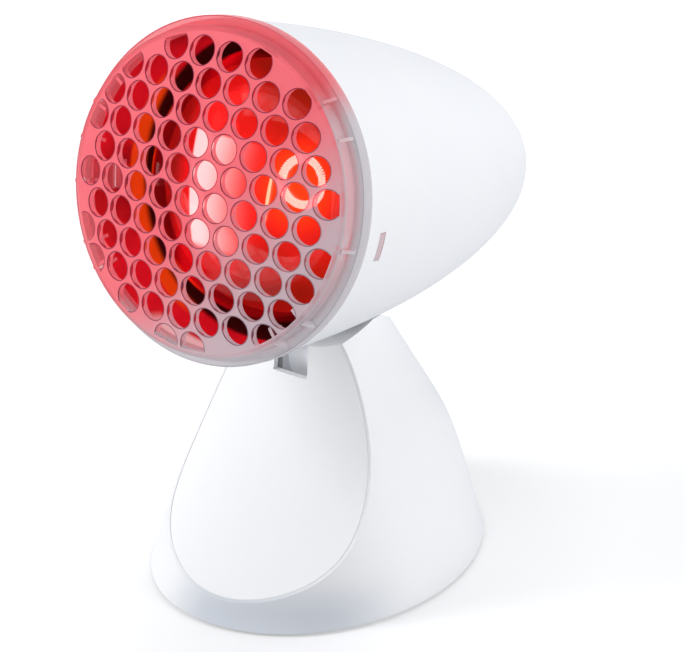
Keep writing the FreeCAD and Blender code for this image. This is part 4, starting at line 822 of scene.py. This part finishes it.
BULB_LIGHT_UP, BULB_LIGHT_ACROSS = 0.6, -0.7
BULB_LIGHT_RANGE = (-0.042, -0.002)
UNLIT_RIM_RANGE = (0.004, -0.016)
PLATE_FACES = (0.25, 0.75)
REAR_FACES = (0.4, 0.8)
STEP_RADIUS = (0.0535, 0.0545)
FLANGE_RADIUS = (0.0550, 0.0556)
GUARD_CLOUD_SCALE, GUARD_CLOUD_DETAIL = 70, 2
GUARD_ROUGHENS = 0.06
PLATE_VEIL = 0.93
WALL_CLEARS, REAR_CLEARS, EDGE_CLEARS = 0.80, 0.80, 0.30
PLASTIC_REFRACTION = 1.49
GUARD_PAINTED_TURNED_SHADE = (0.42, 0.36, 0.40)
GUARD_TURNED_BLEND = 0.30


def off(tree, mask):
    """On where a mask is off."""
    return calc(tree, 1, "SUBTRACT", mask)


def make_guard_painted_glow():
    """Clear plastic with the lit bulb's light painted on as colour and glow: rose near the top and left and
    in the hole walls, grey low down and on the rim there.
    """
    tree, given, result = effect(
        "guard_painted_glow",
        [("Colour", COLOUR, (1.0, 0.3, 0.33, 1)), ("Cold", COLOUR, (0.56, 0.43, 0.47, 1)),
         ("Wall", COLOUR, (0.62, 0.16, 0.22, 1)), ("Roughness", FLOAT, 0.1),
         ("Rim", COLOUR, (0.62, 0.60, 0.63, 1))],
        GLOW_EXITS + [("Alpha", FLOAT)])
    across, _, up = head_place(tree)
    aside = calc(tree, across, "MULTIPLY", BULB_LIGHT_ACROSS)
    bulb_light = calc(tree, calc(tree, up, "MULTIPLY", BULB_LIGHT_UP), "ADD", aside)
    backward = facing(tree, in_head(0, 1, 0) - in_head(0, 0, 0))
    radius = from_axis(tree, across, up)
    flat = ease(tree, calc(tree, backward, "ABSOLUTE", 0), *PLATE_FACES)
    edge = ease(tree, radius, *STEP_RADIUS)
    wall = all_of(tree, off(tree, flat), off(tree, edge))
    rear = all_of(tree, ease(tree, backward, *REAR_FACES), off(tree, edge))
    unlit_rim = all_of(tree, ease(tree, radius, *FLANGE_RADIUS), ease(tree, bulb_light, *UNLIT_RIM_RANGE))
    colour = blended(tree, ease(tree, bulb_light, *BULB_LIGHT_RANGE), given["Cold"], given["Colour"])
    colour = blended(tree, wall, colour, given["Wall"])
    colour = blended(tree, unlit_rim, colour, given["Rim"])
    veil = PLATE_VEIL
    for mask, clears in ((wall, WALL_CLEARS), (rear, REAR_CLEARS), (edge, EDGE_CLEARS)):
        veil = calc(tree, veil, "SUBTRACT", calc(tree, mask, "MULTIPLY", clears))
    cloud = speckle(tree, GUARD_CLOUD_SCALE, GUARD_CLOUD_DETAIL)
    tree.links.new(colour, result["Colour"])
    tree.links.new(colour, result["Glow"])
    tree.links.new(veil, result["Alpha"])
    tree.links.new(wandering(tree, given["Roughness"], cloud, GUARD_ROUGHENS), result["Roughness"])
    tree.links.new(cloud, result["Height"])
    return tree


GUARD_PAINTED_GLOW = make_guard_painted_glow()
# The guard's rose colour and glow are the bulb's light, painted on the clear plastic.
clear_plastic = glowing("clear_plastic", GUARD_PAINTED_GLOW, glow=0.20, colour=(0.85, 0.155, 0.185), roughness=0.30,
                        strength=0.03, IOR=PLASTIC_REFRACTION, Specular_IOR_Level=0.25)
clear_plastic.node_tree.links.new(skin_of(clear_plastic).outputs["Alpha"],
                                  surface_of(clear_plastic).inputs["Alpha"])
# Painted shade: the clear plastic darkens where it turns from the eye, as dark outlines at its edges.
paint_shade_turned_away(clear_plastic, GUARD_PAINTED_TURNED_SHADE, GUARD_TURNED_BLEND)
paint(clear_plastic, "grille")


# ---------------------------------------------------------------------------
# The guard's painted outlines: a fine dark rose wire just inside the mouth of every
# hole, and round the rim and the step.  It is painted shade for the darker line that
# the clear plastic shows at these edges, and it glows faintly with the guard's painted light.

HOLE_PITCH = 11.4
HOLE_RADIUS = 5.2
FIELD_RADIUS = 53.6
FIELD_MARGIN = 0.2
FIELD_ASIDE = 3.3
FIELD_OVER_MIDDLE = 7.3
DOME_RADIUS = 215
DOME_RISE = 12.8
OUTLINE_WIRE = 0.20
OUTLINE_SET_IN = 0.22
OUTLINE_WIRES_FROM_EDGE = 0.8
OUTLINE_SIDES = 5
HOLE_AROUND = 40
RING_AROUND = 240
EDGE_RINGS = ((58.75, 0.25), (55.45, -5.25))

outline_rose = glowing("outline_rose", GUARD_PAINTED_GLOW, glow=0.15, colour=(0.26, 0.012, 0.045), roughness=0.3,
                   Cold=(0.20, 0.14, 0.17, 1), Wall=(0.22, 0.012, 0.04, 1), Rim=(0.26, 0.25, 0.27, 1))


def outline_points(across, up, radius, around, depth_at):
    """A fine wire bent round in a circle, at a depth that depends on the place."""
    for turn in range(around):
        angle = 2 * math.pi * turn / around
        for side in range(OUTLINE_SIDES):
            lean = 2 * math.pi * side / OUTLINE_SIDES
            reach = radius + OUTLINE_WIRE * math.cos(lean)
            x, z = across + reach * math.cos(angle), up + reach * math.sin(angle)
            yield x, depth_at(x, z) + OUTLINE_WIRE * math.sin(lean), z


def dome_depth(x, z):
    """The depth of a hole's painted outline, just under the dome's outside."""
    return DOME_RADIUS - DOME_RISE - math.sqrt(DOME_RADIUS * DOME_RADIUS - x * x - z * z) + OUTLINE_SET_IN


def open_stretch(across, up):
    """The steps round a hole that lie in the field, where the hole's mouth is whole."""
    whole = []
    for turn in range(HOLE_AROUND):
        angle = 2 * math.pi * turn / HOLE_AROUND
        edge = (across + HOLE_RADIUS * math.cos(angle), up + HOLE_RADIUS * math.sin(angle))
        whole.append(math.hypot(*edge) < FIELD_RADIUS)
    return [turn for turn in range(HOLE_AROUND) if whole[turn] and whole[(turn + 1) % HOLE_AROUND]]


def guard_painted_outlines(name):
    """The painted outlines of all holes, open where the field's edge cuts one, and of the rim and step."""
    points, faces = [], []
    row_rise = HOLE_PITCH * math.sqrt(3) / 2
    last = math.ceil(FIELD_RADIUS / row_rise)
    for row in range(-last, last + 1):
        for k in range(-last, last + 1):
            across = FIELD_ASIDE + (k + row % 2 / 2) * HOLE_PITCH
            up = FIELD_OVER_MIDDLE + row * row_rise
            if math.hypot(across, up) > FIELD_RADIUS - FIELD_MARGIN:
                continue
            faces.extend(row_faces(len(points), open_stretch(across, up), HOLE_AROUND, OUTLINE_SIDES))
            radius = HOLE_RADIUS - OUTLINE_WIRE * OUTLINE_WIRES_FROM_EDGE
            points.extend(outline_points(across, up, radius, HOLE_AROUND, dome_depth))
    for radius, depth in EDGE_RINGS:
        faces.extend(row_faces(len(points), range(RING_AROUND), RING_AROUND, OUTLINE_SIDES))
        points.extend(outline_points(0, 0, radius, RING_AROUND, lambda x, z: depth))
    return head_skin(name, points, faces)


painted_outlines = guard_painted_outlines("guard_painted_outlines")
painted_outlines.data.materials.append(outline_rose)
